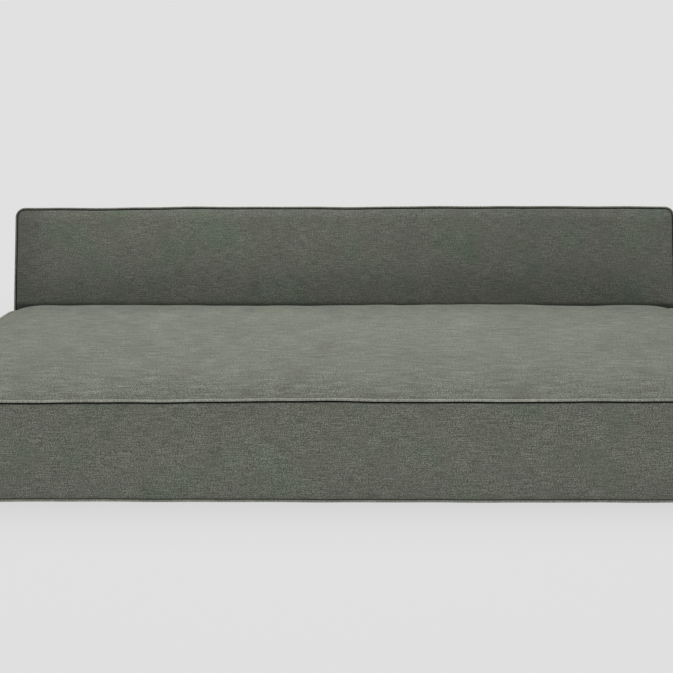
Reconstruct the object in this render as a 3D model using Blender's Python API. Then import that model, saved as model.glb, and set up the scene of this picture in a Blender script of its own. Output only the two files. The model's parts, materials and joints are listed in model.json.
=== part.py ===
# Sofa bed with an unbroken bench seat and a low back that folds down level with it
# Metres, +Z up, the front faces -Y, the floor is at Z = 0 under the middle of the sofa

import bpy
import bmesh
from math import cos, pi, radians, sin, sqrt
from mathutils import Vector

# Overall sizes
WIDTH = 2.44
SEAT_DEPTH = 0.96
CLEARANCE = 0.0003

# Seat base
FOOT_HEIGHT = 0.0235
FOOT_RADIUS = 0.032
FOOT_TAPER = 0.006
FOOT_INSET = 0.095
DUST_COVER_THICKNESS = 0.001
DUST_COVER_INSET = 0.020
RAIL_HEIGHT = 0.110
RAIL_THICKNESS = 0.028
RAIL_EASING = 0.002
CROSS_RAIL_SPREAD = 0.610
CORNER_BLOCK_LEG = 0.110
CORNER_BLOCK_TIP = 0.020
CORNER_BLOCK_HEIGHT = 0.070
DECK_THICKNESS = 0.012
VENT_RADIUS = 0.018
VENT_COLUMNS = 4
VENT_ROWS = 2

# Seat upholstery
BORDER_THICKNESS = 0.012
MATTRESS_THICKNESS = 0.1483
MATTRESS_ROLL = 0.042
MATTRESS_ROLL_RUN = 0.140
MATTRESS_DOME = 0.007
MATTRESS_DOME_RUN = 0.270
MATTRESS_WAIST = 0.003
SEAT_CORNER_RADIUS = 0.025
SOFT_EASING = 0.003
WELT_RADIUS = 0.0035
WELT_PROUD = 0.0015

# Back
BACK_RAKE = radians(10)
BACK_THICKNESS = 0.180
BACK_RISE = 0.450
BACK_CORNER_RADIUS = 0.034
PIVOT_DEPTH = 0.090
FOLD_GAP = 0.028
PAD_THICKNESS = 0.054
PAD_ROLL = 0.011
PAD_ROLL_RUN = 0.050
PAD_DOME = 0.004
PAD_DOME_RUN = 0.120
PAD_WAIST = 0.002
BOARD_THICKNESS = 0.006
BACK_RAIL_THICKNESS = 0.022
BACK_BORDER_THICKNESS = 0.016
REAR_PANEL_THICKNESS = 0.012
ROLL_FRONT_RADIUS = 0.060
ROLL_REAR_RADIUS = 0.040

# Click-clack hinges
HINGE_INSET = 0.200
PLATE_THICKNESS = 0.005
FLANGE_WIDTH = 0.060
FLANGE_MARGIN = 0.022
EAR_RADIUS = 0.024
DRUM_RADIUS = 0.032
DRUM_THICKNESS = 0.008
PIN_RADIUS = 0.006
PIN_HEAD_RADIUS = 0.011
PIN_HEAD_THICKNESS = 0.003
PIN_CLEARANCE = 0.00002
ARM_HALF_WIDTH = 0.020
ARM_LENGTH = 0.220
BOLT_RADIUS = 0.004
BOLT_MARGIN = 0.014
ARM_BOLTS = 3
ARM_BOLT_PITCH = 0.055
SLOT_CLEARANCE = 0.004

# Swinging rear legs
LEG_RISE = 0.290
LEG_STANDOFF = 0.020
LEG_WIDTH = 0.036
LEG_THICKNESS = 0.022
LEG_CAP_THICKNESS = 0.006
LEG_CAP_MARGIN = 0.002
LEG_FLOOR_CLEARANCE = 0.001
LEG_PIN_RADIUS = 0.004
LEG_PIN_HEAD_RADIUS = 0.007
BRACKET_THICKNESS = 0.003
BRACKET_HEIGHT = 0.040
BRACKET_LIP = 0.008

# Facet counts
ARC_STEPS = 6
ROUND_STEPS = 24
ROLL_RINGS = 5
DOME_RINGS = 3

# Heights of the seat, from the floor up
BASE_Z = FOOT_HEIGHT + DUST_COVER_THICKNESS + 2 * CLEARANCE
RAIL_TOP = BASE_Z + RAIL_HEIGHT
DECK_Z = RAIL_TOP + CLEARANCE
DECK_TOP = DECK_Z + DECK_THICKNESS
MATTRESS_Z = DECK_TOP + CLEARANCE
SEAT_Z = MATTRESS_Z + MATTRESS_THICKNESS
BORDER_Z = BASE_Z + 2 * WELT_RADIUS + CLEARANCE

# The fold axis lies so deep that the folded front face is level with the seat
PIVOT_SETBACK = PIVOT_DEPTH * (1 - sin(BACK_RAKE)) / cos(BACK_RAKE)
BACK_DROP = PIVOT_SETBACK
PIVOT_Z = SEAT_Z - PIVOT_DEPTH

# Levels through the back, from its front face to its rear face, measured from the fold axis
PAD_FRONT = -PIVOT_DEPTH
PAD_REAR = PAD_FRONT + PAD_THICKNESS
BOARD_FRONT = PAD_REAR + CLEARANCE
BACK_FRAME_FRONT = BOARD_FRONT + BOARD_THICKNESS + CLEARANCE
BACK_REAR = PAD_FRONT + BACK_THICKNESS
PANEL_FRONT = BACK_REAR - REAR_PANEL_THICKNESS
BACK_FRAME_REAR = PANEL_FRONT - CLEARANCE

# Outline of the back's frame, above the lower foam rolls
SPLIT_Z = DRUM_RADIUS + SLOT_CLEARANCE
BACK_FRAME_Z = SPLIT_Z + CLEARANCE
BACK_FRAME_X = WIDTH / 2 - BACK_BORDER_THICKNESS - CLEARANCE
BACK_FRAME_TOP = BACK_RISE - BACK_BORDER_THICKNESS - CLEARANCE
STILE_Z = BACK_FRAME_Z + BACK_RAIL_THICKNESS + CLEARANCE
STILE_TOP = BACK_FRAME_TOP - BACK_RAIL_THICKNESS - CLEARANCE

# Leg pivot, bracket and leg, measured from the fold axis
BRACKET_FRONT = BACK_REAR + CLEARANCE
LEG_PIVOT_Y = BRACKET_FRONT + LEG_STANDOFF
BRACKET_REAR = LEG_PIVOT_Y + LEG_PIN_RADIUS + BRACKET_LIP
LEG_LENGTH = PIVOT_Z - LEG_PIVOT_Y - LEG_CAP_THICKNESS - CLEARANCE - LEG_FLOOR_CLEARANCE

# Front and rear of the seat, with the whole sofa centred over the origin
PIVOT_RUN = SEAT_DEPTH + FOLD_GAP + PIVOT_SETBACK
WELT_REACH = BACK_REAR * cos(BACK_RAKE) + BACK_RISE * sin(BACK_RAKE) + WELT_RADIUS
BRACKET_REACH = BRACKET_REAR * cos(BACK_RAKE) + (LEG_RISE + BRACKET_HEIGHT / 2) * sin(BACK_RAKE)
SEAT_FRONT = (WELT_RADIUS - PIVOT_RUN - max(WELT_REACH, BRACKET_REACH)) / 2
SEAT_REAR = SEAT_FRONT + SEAT_DEPTH
PIVOT_Y = SEAT_FRONT + PIVOT_RUN

# Outer and inner faces of the timber base
BASE_X = WIDTH / 2 - BORDER_THICKNESS - CLEARANCE
BASE_FRONT = SEAT_FRONT + BORDER_THICKNESS + CLEARANCE
BASE_REAR = SEAT_REAR - BORDER_THICKNESS - CLEARANCE
INNER_X = BASE_X - RAIL_THICKNESS - CLEARANCE
INNER_FRONT = BASE_FRONT + RAIL_THICKNESS + CLEARANCE
INNER_REAR = BASE_REAR - RAIL_THICKNESS - CLEARANCE

# Hinge planes across the sofa, on the right-hand side
HINGE_X = WIDTH / 2 - HINGE_INSET
WEB_INNER = HINGE_X - PLATE_THICKNESS / 2
WEB_OUTER = HINGE_X + PLATE_THICKNESS / 2
ARM_OUTER = WEB_INNER - CLEARANCE
ARM_INNER = ARM_OUTER - PLATE_THICKNESS
STILE_OUTER = ARM_INNER - CLEARANCE
STILE_INNER = STILE_OUTER - BACK_RAIL_THICKNESS
LEG_X = (STILE_INNER + STILE_OUTER) / 2
DRUM_OUTER = WEB_OUTER + DRUM_THICKNESS
PIN_INNER = ARM_INNER - CLEARANCE - PIN_HEAD_THICKNESS
PIN_OUTER = DRUM_OUTER + CLEARANCE + PIN_HEAD_THICKNESS
SLOT_INNER = PIN_INNER - SLOT_CLEARANCE
SLOT_OUTER = PIN_OUTER + SLOT_CLEARANCE

# The hinge flange on the rear rail, and the notch for it in the rear border
FLANGE_Z = BASE_Z + FLANGE_MARGIN
FLANGE_TOP = RAIL_TOP - FLANGE_MARGIN
FLANGE_FRONT = BASE_REAR + CLEARANCE
FLANGE_REAR = FLANGE_FRONT + PLATE_THICKNESS
NOTCH_HALF_WIDTH = FLANGE_WIDTH / 2 + SLOT_CLEARANCE

# A welt lies in a chamfer along its edge, with its centre on the edge itself
WELT_CHAMFER = (WELT_RADIUS + CLEARANCE) * sqrt(2)

SIDES = {"left": -1, "right": 1}


def clear_scene():
    """Remove every object that the file starts with."""
    for item in list(bpy.data.objects):
        bpy.data.objects.remove(item, do_unlink=True)


def material(name, colour, roughness, metallic=0.0):
    """A plain Principled material for one kind of stuff."""
    made = bpy.data.materials.new(name)
    made.use_nodes = True
    shader = made.node_tree.nodes["Principled BSDF"]
    shader.inputs["Base Color"].default_value = (*colour, 1.0)
    shader.inputs["Roughness"].default_value = roughness
    shader.inputs["Metallic"].default_value = metallic
    made.diffuse_color = (*colour, 1.0)
    return made


def add_mesh(name, bm, stuff, parent=None):
    """Turn a bmesh into a named object with outward faces."""
    bmesh.ops.recalc_face_normals(bm, faces=bm.faces)
    mesh = bpy.data.meshes.new(name)
    bm.to_mesh(mesh)
    bm.free()
    mesh.materials.append(stuff)
    made = bpy.data.objects.new(name, mesh)
    bpy.context.scene.collection.objects.link(made)
    made.parent = parent
    return made


def add_welt(name, points, stuff, closed, parent=None):
    """A round welt cord along a line of points."""
    curve = bpy.data.curves.new(name, "CURVE")
    curve.dimensions = "3D"
    curve.bevel_depth = WELT_RADIUS
    curve.bevel_resolution = 1
    curve.use_fill_caps = not closed
    spline = curve.splines.new("POLY")
    spline.points.add(len(points) - 1)
    spline.use_cyclic_u = closed
    for knot, point in zip(spline.points, points):
        knot.co = (*point, 1.0)
    curve.materials.append(stuff)
    made = bpy.data.objects.new(name, curve)
    bpy.context.scene.collection.objects.link(made)
    made.parent = parent
    return made


def add_pivot(name, location, tilt=0.0):
    """A marker on a joint axis that carries the pieces turning with it."""
    made = bpy.data.objects.new(name, None)
    made.location = location
    made.rotation_euler.x = tilt
    bpy.context.scene.collection.objects.link(made)
    return made


def combine(target, tool, operation):
    """Cut a tool out of a piece, or join it on, and use the tool up."""
    step = target.modifiers.new("combine", "BOOLEAN")
    step.solver = "EXACT"
    step.operation = operation
    step.object = tool
    graph = bpy.context.evaluated_depsgraph_get()
    result = bpy.data.meshes.new_from_object(target.evaluated_get(graph))
    target.modifiers.clear()
    target.data = result
    bpy.data.objects.remove(tool, do_unlink=True)


def arc(centre, radius, start, end, steps=ARC_STEPS):
    """Points along an arc in a plane, with angles in degrees."""
    points = []
    for i in range(steps + 1):
        angle = radians(start + (end - start) * i / steps)
        points.append((centre[0] + radius * cos(angle), centre[1] + radius * sin(angle)))
    return points


def circle(centre, radius, steps=ROUND_STEPS):
    """Points around a full circle."""
    return arc(centre, radius, 0, 360 - 360 / steps, steps - 1)


def pin_hole(centre, radius):
    """A round hole whose flats clear a pin of the given radius."""
    return circle(centre, (radius + PIN_CLEARANCE) / cos(pi / ROUND_STEPS))


def rectangle(u0, u1, v0, v1):
    """The four corners of a rectangle."""
    return [(u0, v0), (u1, v0), (u1, v1), (u0, v1)]


def rounded_rectangle(u0, u1, v0, v1, lower, upper):
    """A rectangle with one radius for its lower corners and one for its upper corners."""
    points = arc((u1 - lower, v0 + lower), lower, -90, 0)
    points += arc((u1 - upper, v1 - upper), upper, 0, 90)
    points += arc((u0 + upper, v1 - upper), upper, 90, 180)
    points += arc((u0 + lower, v0 + lower), lower, 180, 270)
    return points


def place(axis, u, v, w):
    """A point of an outline in the plane across an axis, at the height w along it."""
    if axis == "X":
        return Vector((w, u, v))
    if axis == "Y":
        return Vector((u, w, v))
    return Vector((u, v, w))


def prism(axis, outline, start, end, holes=()):
    """An outline, with any holes, drawn out along an axis."""
    bm = bmesh.new()
    for loop in (outline, *holes):
        corners = [bm.verts.new(place(axis, u, v, start)) for u, v in loop]
        for first, second in zip(corners, corners[1:] + corners[:1]):
            bm.edges.new((first, second))
    bmesh.ops.triangle_fill(bm, use_beauty=True, edges=bm.edges)
    drawn = bmesh.ops.extrude_face_region(bm, geom=bm.faces, use_keep_orig=True)
    moved = [item for item in drawn["geom"] if isinstance(item, bmesh.types.BMVert)]
    bmesh.ops.translate(bm, verts=moved, vec=place(axis, 0, 0, end - start))
    return bm


def hull_plate(axis, points, start, end):
    """A plate of even thickness whose outline is drawn tight around the points."""
    bm = bmesh.new()
    for w in (start, end):
        for u, v in points:
            bm.verts.new(place(axis, u, v, w))
    made = bmesh.ops.convex_hull(bm, input=bm.verts)
    spare = [item for item in made["geom_interior"] if isinstance(item, bmesh.types.BMVert)]
    bmesh.ops.delete(bm, geom=spare, context="VERTS")
    return bm


def loft(rings):
    """Skin a row of rings with equal counts of points and close both ends."""
    bm = bmesh.new()
    rows = [[bm.verts.new(point) for point in ring] for ring in rings]
    for lower, upper in zip(rows, rows[1:]):
        for i in range(len(lower)):
            j = (i + 1) % len(lower)
            bm.faces.new((lower[i], lower[j], upper[j], upper[i]))
    bm.faces.new(rows[0])
    bm.faces.new(rows[-1])
    return bm


def revolve(axis, profile, centre=(0, 0)):
    """A turned piece from (place along the axis, radius) pairs, round a centre across the axis."""
    return loft([[place(axis, u, v, w) for u, v in circle(centre, radius)] for w, radius in profile])


def timber(low, high):
    """A sawn and planed rail between two corners, with eased edges."""
    bm = bmesh.new()
    bmesh.ops.create_cube(bm, size=1.0)
    size = Vector(high) - Vector(low)
    bmesh.ops.scale(bm, verts=bm.verts, vec=size)
    bmesh.ops.translate(bm, verts=bm.verts, vec=(Vector(low) + Vector(high)) / 2)
    bmesh.ops.bevel(bm, geom=bm.edges, offset=RAIL_EASING, segments=1, affect="EDGES")
    return bm


def span(side, inner, outer):
    """The two ends of an interval given on the right-hand side, for either side."""
    return sorted((side * inner, side * outer))


def crown_rings(roll, roll_run, dome, dome_run):
    """Pairs of inset and rise for a face that rolls up from its welted edge into a gentle dome."""
    pairs = []
    for i in range(1, ROLL_RINGS + 1):
        turn = pi / 2 * i / ROLL_RINGS
        pairs.append((WELT_CHAMFER + roll_run * (1 - cos(turn)), roll * sin(turn)))
    for i in range(1, DOME_RINGS + 1):
        share = i / DOME_RINGS
        pairs.append((WELT_CHAMFER + roll_run + dome_run * share, roll + dome * share * (2 - share)))
    return pairs


def seat_outline(inset):
    """The seat's plan, drawn in from its outer faces."""
    radius = max(SEAT_CORNER_RADIUS - inset, SOFT_EASING)
    x = WIDTH / 2 - inset
    return rounded_rectangle(-x, x, SEAT_FRONT + inset, SEAT_REAR - inset, radius, radius)


def back_outline(inset):
    """The back's front view above its rolls, drawn in from its outer edges."""
    radius = max(BACK_CORNER_RADIUS - inset, SOFT_EASING)
    x = WIDTH / 2 - inset
    return rounded_rectangle(-x, x, BACK_FRAME_Z + inset, BACK_RISE - inset, SOFT_EASING, radius)


def back_point(x, y, z):
    """A point given from the fold axis along the raked back, in the sofa's own frame."""
    return Vector((
        x,
        PIVOT_Y + y * cos(BACK_RAKE) + z * sin(BACK_RAKE),
        PIVOT_Z - y * sin(BACK_RAKE) + z * cos(BACK_RAKE),
    ))


def build_base(pine, ply, plastic, felt):
    """Timber base with corner blocks, vented deck, dust cover and glides."""
    z0, z1 = BASE_Z, RAIL_TOP
    x = BASE_X
    add_mesh("front_rail", timber((-x, BASE_FRONT, z0), (x, BASE_FRONT + RAIL_THICKNESS, z1)), pine)
    add_mesh("rear_rail", timber((-x, BASE_REAR - RAIL_THICKNESS, z0), (x, BASE_REAR, z1)), pine)
    for name, side in SIDES.items():
        low, high = span(side, BASE_X - RAIL_THICKNESS, BASE_X)
        add_mesh(f"{name}_end_rail", timber((low, INNER_FRONT, z0), (high, INNER_REAR, z1)), pine)

    half = RAIL_THICKNESS / 2
    crossings = {"left": -CROSS_RAIL_SPREAD, "middle": 0.0, "right": CROSS_RAIL_SPREAD}
    for name, middle in crossings.items():
        rail = timber((middle - half, INNER_FRONT, z0), (middle + half, INNER_REAR, z1))
        add_mesh(f"{name}_cross_rail", rail, pine)

    leg, tip = CORNER_BLOCK_LEG, CORNER_BLOCK_TIP
    wedge = [(0, 0), (leg, 0), (leg, tip), (tip, leg), (0, leg)]
    ends = {"front": (INNER_FRONT, 1), "rear": (INNER_REAR, -1)}
    for end, (y, inward) in ends.items():
        for name, side in SIDES.items():
            plan = [(side * (INNER_X - u), y + inward * v) for u, v in wedge]
            block = prism("Z", plan, BASE_Z, BASE_Z + CORNER_BLOCK_HEIGHT)
            add_mesh(f"{end}_{name}_corner_block", block, pine)

    depth = BASE_REAR - BASE_FRONT
    for name, side in SIDES.items():
        low, high = span(side, CLEARANCE / 2, BASE_X)
        vents = []
        for column in range(VENT_COLUMNS):
            u = low + (high - low) * (column + 0.5) / VENT_COLUMNS
            for row in range(VENT_ROWS):
                v = BASE_FRONT + depth * (row + 0.5) / VENT_ROWS
                vents.append(circle((u, v), VENT_RADIUS, ROUND_STEPS // 2))
        board = prism("Z", rectangle(low, high, BASE_FRONT, BASE_REAR), DECK_Z, DECK_TOP, vents)
        add_mesh(f"{name}_seat_deck", board, ply)

    cover_z = FOOT_HEIGHT + CLEARANCE
    cover = prism("Z", seat_outline(DUST_COVER_INSET), cover_z, cover_z + DUST_COVER_THICKNESS)
    add_mesh("dust_cover", cover, felt)

    profile = [(0, FOOT_RADIUS - FOOT_TAPER), (FOOT_HEIGHT / 4, FOOT_RADIUS - FOOT_TAPER / 3)]
    profile.append((FOOT_HEIGHT, FOOT_RADIUS))
    rows = {"front": SEAT_FRONT + FOOT_INSET, "rear": SEAT_REAR - FOOT_INSET}
    columns = {"left": FOOT_INSET - WIDTH / 2, "middle": 0.0, "right": WIDTH / 2 - FOOT_INSET}
    for row, v in rows.items():
        for column, u in columns.items():
            add_mesh(f"{row}_{column}_foot", revolve("Z", profile, (u, v)), plastic)


def build_seat(linen, piping):
    """Crowned mattress, padded borders round the base, and the two lines of welt."""
    levels = [
        (SOFT_EASING, MATTRESS_Z),
        (0, MATTRESS_Z + SOFT_EASING),
        (MATTRESS_WAIST, MATTRESS_Z + MATTRESS_THICKNESS / 2),
        (0, SEAT_Z - WELT_CHAMFER),
        (WELT_CHAMFER, SEAT_Z),
    ]
    crown = crown_rings(MATTRESS_ROLL, MATTRESS_ROLL_RUN, MATTRESS_DOME, MATTRESS_DOME_RUN)
    levels += [(inset, SEAT_Z + rise) for inset, rise in crown]
    rings = [[place("Z", u, v, z) for u, v in seat_outline(inset)] for inset, z in levels]
    add_mesh("seat_mattress", loft(rings), linen)

    thick, radius = BORDER_THICKNESS, SEAT_CORNER_RADIUS
    x = WIDTH / 2
    wrap = arc((radius - x, radius), radius, 180, 270) + arc((x - radius, radius), radius, 270, 360)
    wrap += [(x - thick, radius), (x - thick, thick), (thick - x, thick), (thick - x, radius)]
    front = [(u, SEAT_FRONT + v) for u, v in wrap]
    rear = [(u, SEAT_REAR - v) for u, v in wrap]
    add_mesh("front_border", prism("Z", front, BORDER_Z, DECK_TOP), linen)
    border = add_mesh("rear_border", prism("Z", rear, BORDER_Z, DECK_TOP), linen)
    for side in SIDES.values():
        low, high = span(side, HINGE_X - NOTCH_HALF_WIDTH, HINGE_X + NOTCH_HALF_WIDTH)
        notch = rectangle(low, high, BORDER_Z - thick, RAIL_TOP)
        tool = add_mesh("notch", prism("Y", notch, SEAT_REAR - 2 * thick, SEAT_REAR + thick), linen)
        combine(border, tool, "DIFFERENCE")
    y0 = SEAT_FRONT + radius + CLEARANCE
    y1 = SEAT_REAR - radius - CLEARANCE
    for name, side in SIDES.items():
        low, high = span(side, x - thick, x)
        add_mesh(f"{name}_border", prism("Z", rectangle(low, high, y0, y1), BORDER_Z, DECK_TOP), linen)

    top = [(u, v, SEAT_Z) for u, v in seat_outline(0)]
    add_welt("seat_top_welt", top, piping, True)
    hem = [(u, v, BASE_Z + WELT_RADIUS) for u, v in seat_outline(WELT_RADIUS - WELT_PROUD)]
    add_welt("seat_bottom_welt", hem, piping, True)


def build_back_frame(pivot, pine, ply):
    """Box frame of the back with its front board."""
    y0, y1 = BACK_FRAME_FRONT, BACK_FRAME_REAR
    x, t = BACK_FRAME_X, BACK_RAIL_THICKNESS
    top = timber((-x, y0, BACK_FRAME_TOP - t), (x, y1, BACK_FRAME_TOP))
    add_mesh("back_top_rail", top, pine, pivot)

    # The bottom rail is slotted from the front for the two hinge arms
    inner, outer = ARM_INNER - CLEARANCE, ARM_OUTER + CLEARANCE
    slot_rear = ARM_HALF_WIDTH + CLEARANCE
    half = [(inner, y0), (inner, slot_rear), (outer, slot_rear), (outer, y0), (x, y0), (x, y1)]
    plan = half + [(-u, v) for u, v in reversed(half)]
    add_mesh("back_bottom_rail", prism("Z", plan, BACK_FRAME_Z, BACK_FRAME_Z + t), pine, pivot)

    stiles = {
        "back_left_stile": (-x, t - x),
        "left_hinge_stile": (-STILE_OUTER, -STILE_INNER),
        "back_middle_stile": (-t / 2, t / 2),
        "right_hinge_stile": (STILE_INNER, STILE_OUTER),
        "back_right_stile": (x - t, x),
    }
    for name, (low, high) in stiles.items():
        add_mesh(name, timber((low, y0, STILE_Z), (high, y1, STILE_TOP)), pine, pivot)

    sheet = rectangle(-x, x, BACK_FRAME_Z, BACK_FRAME_TOP)
    board = prism("Y", sheet, BOARD_FRONT, BOARD_FRONT + BOARD_THICKNESS)
    add_mesh("back_board", board, ply, pivot)


def build_back_upholstery(pivot, linen, piping):
    """Crowned front pad, lower rolls, edge padding, rear panel and the two lines of welt."""
    levels = [
        (SOFT_EASING, PAD_REAR),
        (0, PAD_REAR - SOFT_EASING),
        (PAD_WAIST, (PAD_FRONT + PAD_REAR) / 2),
        (0, PAD_FRONT + WELT_CHAMFER),
        (WELT_CHAMFER, PAD_FRONT),
    ]
    crown = crown_rings(PAD_ROLL, PAD_ROLL_RUN, PAD_DOME, PAD_DOME_RUN)
    levels += [(inset, PAD_FRONT - rise) for inset, rise in crown]
    rings = [[place("Y", u, v, y) for u, v in back_outline(inset)] for inset, y in levels]
    add_mesh("back_pad", loft(rings), linen, pivot)

    front, rear = ROLL_FRONT_RADIUS, ROLL_REAR_RADIUS
    profile = [(BACK_REAR, SPLIT_Z), (PAD_FRONT, SPLIT_Z)]
    profile += arc((PAD_FRONT + front, front - BACK_DROP), front, 180, 270)
    profile += arc((BACK_REAR - rear, rear - BACK_DROP), rear, 270, 360)
    rolls = {
        "left_roll": (-WIDTH / 2, -SLOT_OUTER),
        "middle_roll": (-SLOT_INNER, SLOT_INNER),
        "right_roll": (SLOT_OUTER, WIDTH / 2),
    }
    for name, (low, high) in rolls.items():
        add_mesh(f"back_{name}", prism("X", profile, low, high), linen, pivot)

    x, z, thick, radius = WIDTH / 2, BACK_RISE, BACK_BORDER_THICKNESS, BACK_CORNER_RADIUS
    edge = [(x, BACK_FRAME_Z)]
    edge += arc((x - radius, z - radius), radius, 0, 90)
    edge += arc((radius - x, z - radius), radius, 90, 180)
    edge.append((-x, BACK_FRAME_Z))
    lining = [(thick - x, BACK_FRAME_Z), (thick - x, z - thick), (x - thick, z - thick), (x - thick, BACK_FRAME_Z)]
    add_mesh("back_border", prism("Y", edge + lining, BOARD_FRONT, BACK_FRAME_REAR), linen, pivot)

    levels = [(0, PANEL_FRONT), (0, BACK_REAR - WELT_CHAMFER), (WELT_CHAMFER, BACK_REAR)]
    rings = [[place("Y", u, v, y) for u, v in back_outline(inset)] for inset, y in levels]
    add_mesh("back_rear_panel", loft(rings), linen, pivot)

    for name, y in {"back_front_welt": PAD_FRONT, "back_rear_welt": BACK_REAR}.items():
        add_welt(name, [(u, y, v) for u, v in edge], piping, False, pivot)


def build_hinges(pivot, steel):
    """Click-clack hinges: flanged seat plate with ratchet drum, pin, and the arm on the back."""
    ear = circle((PIVOT_Y, PIVOT_Z), EAR_RADIUS)
    root_y = (FLANGE_FRONT + FLANGE_REAR) / 2
    web = [(root_y, FLANGE_Z), (root_y, FLANGE_TOP)] + ear
    stadium = arc((0, 0), ARM_HALF_WIDTH, 180, 360) + arc((0, ARM_LENGTH), ARM_HALF_WIDTH, 0, 180)
    arm_holes = [pin_hole((0, 0), PIN_RADIUS)]
    arm_holes += [circle((0, ARM_LENGTH - i * ARM_BOLT_PITCH), BOLT_RADIUS, 12) for i in range(ARM_BOLTS)]
    for name, side in SIDES.items():
        u0, u1 = span(side, HINGE_X - FLANGE_WIDTH / 2, HINGE_X + FLANGE_WIDTH / 2)
        bolts = []
        for u in (u0 + BOLT_MARGIN, u1 - BOLT_MARGIN):
            for v in (FLANGE_Z + BOLT_MARGIN, FLANGE_TOP - BOLT_MARGIN):
                bolts.append(circle((u, v), BOLT_RADIUS, 12))
        flange = prism("Y", rectangle(u0, u1, FLANGE_Z, FLANGE_TOP), FLANGE_FRONT, FLANGE_REAR, bolts)
        plate = add_mesh(f"{name}_hinge_plate", flange, steel)
        low, high = span(side, WEB_INNER, WEB_OUTER)
        combine(plate, add_mesh("web", hull_plate("X", web, low, high), steel), "UNION")
        low, high = span(side, HINGE_X, DRUM_OUTER)
        drum = revolve("X", [(low, DRUM_RADIUS), (high, DRUM_RADIUS)], (PIVOT_Y, PIVOT_Z))
        combine(plate, add_mesh("drum", drum, steel), "UNION")
        low, high = span(side, PIN_INNER, PIN_OUTER)
        bore = prism("X", pin_hole((PIVOT_Y, PIVOT_Z), PIN_RADIUS), low, high)
        combine(plate, add_mesh("bore", bore, steel), "DIFFERENCE")

        head = PIN_HEAD_THICKNESS
        profile = [(low, PIN_HEAD_RADIUS), (low + head, PIN_HEAD_RADIUS), (low + head, PIN_RADIUS)]
        profile += [(high - head, PIN_RADIUS), (high - head, PIN_HEAD_RADIUS), (high, PIN_HEAD_RADIUS)]
        add_mesh(f"{name}_hinge_pin", revolve("X", profile, (PIVOT_Y, PIVOT_Z)), steel)

        low, high = span(side, ARM_INNER, ARM_OUTER)
        add_mesh(f"{name}_hinge_arm", prism("X", stadium, low, high, arm_holes), steel, pivot)


def build_legs(pivot, steel, pine, rubber):
    """Rear legs that hang from brackets and stand upright under the folded back."""
    gap = CLEARANCE
    t = BRACKET_THICKNESS
    inner = LEG_WIDTH / 2 + gap
    outer = inner + t
    y0, y1 = BRACKET_FRONT, BRACKET_REAR
    channel = [(-outer, y0), (outer, y0), (outer, y1), (inner, y1)]
    channel += [(inner, y0 + t), (-inner, y0 + t), (-inner, y1), (-outer, y1)]
    z0, z1 = LEG_RISE - BRACKET_HEIGHT / 2, LEG_RISE + BRACKET_HEIGHT / 2
    axle = (LEG_PIVOT_Y, LEG_RISE)
    half = LEG_THICKNESS / 2
    blade = arc((0, 0), half, 0, 180) + [(-half, -LEG_LENGTH), (half, -LEG_LENGTH)]
    for name, side in SIDES.items():
        x = side * LEG_X
        plan = [(x + u, v) for u, v in channel]
        bracket = add_mesh(f"{name}_leg_bracket", prism("Z", plan, z0, z1), steel, pivot)
        bore = prism("X", pin_hole(axle, LEG_PIN_RADIUS), x - outer - t, x + outer + t)
        combine(bracket, add_mesh("bore", bore, steel, pivot), "DIFFERENCE")

        reach = outer + gap
        profile = [(-reach - t, LEG_PIN_HEAD_RADIUS), (-reach, LEG_PIN_HEAD_RADIUS), (-reach, LEG_PIN_RADIUS)]
        profile += [(-w, radius) for w, radius in reversed(profile)]
        turned = revolve("X", [(x + w, radius) for w, radius in profile], axle)
        add_mesh(f"{name}_leg_pin", turned, steel, pivot)

        swing = add_pivot(f"{name}_leg_axis", back_point(x, LEG_PIVOT_Y, LEG_RISE))
        hole = pin_hole((0, 0), LEG_PIN_RADIUS)
        leg = prism("X", blade, -LEG_WIDTH / 2, LEG_WIDTH / 2, [hole])
        add_mesh(f"{name}_rear_leg", leg, pine, swing)
        cap_x = LEG_WIDTH / 2 + LEG_CAP_MARGIN
        cap_y = half + LEG_CAP_MARGIN
        cap_top = -LEG_LENGTH - gap
        cap = timber((-cap_x, -cap_y, cap_top - LEG_CAP_THICKNESS), (cap_x, cap_y, cap_top))
        add_mesh(f"{name}_leg_cap", cap, rubber, swing)


def main():
    clear_scene()
    linen = material("olive linen weave", (0.125, 0.130, 0.106), 0.90)
    piping = material("olive linen piping", (0.100, 0.104, 0.085), 0.90)
    pine = material("planed pine", (0.52, 0.36, 0.20), 0.60)
    ply = material("birch plywood", (0.58, 0.44, 0.28), 0.55)
    steel = material("zinc plated steel", (0.55, 0.56, 0.57), 0.35, 1.0)
    plastic = material("black polypropylene", (0.015, 0.015, 0.016), 0.45)
    felt = material("black nonwoven lining", (0.012, 0.012, 0.013), 0.95)
    rubber = material("black rubber", (0.018, 0.018, 0.018), 0.80)

    build_base(pine, ply, plastic, felt)
    build_seat(linen, piping)
    pivot = add_pivot("back_fold_axis", (0, PIVOT_Y, PIVOT_Z), -BACK_RAKE)
    build_back_frame(pivot, pine, ply)
    build_back_upholstery(pivot, linen, piping)
    build_hinges(pivot, steel)
    build_legs(pivot, steel, pine, rubber)


main()
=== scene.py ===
import json
from functools import partial
from math import cos, pi, radians, sin

import bmesh
import bpy
import numpy as np
from mathutils import Matrix, Vector

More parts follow.
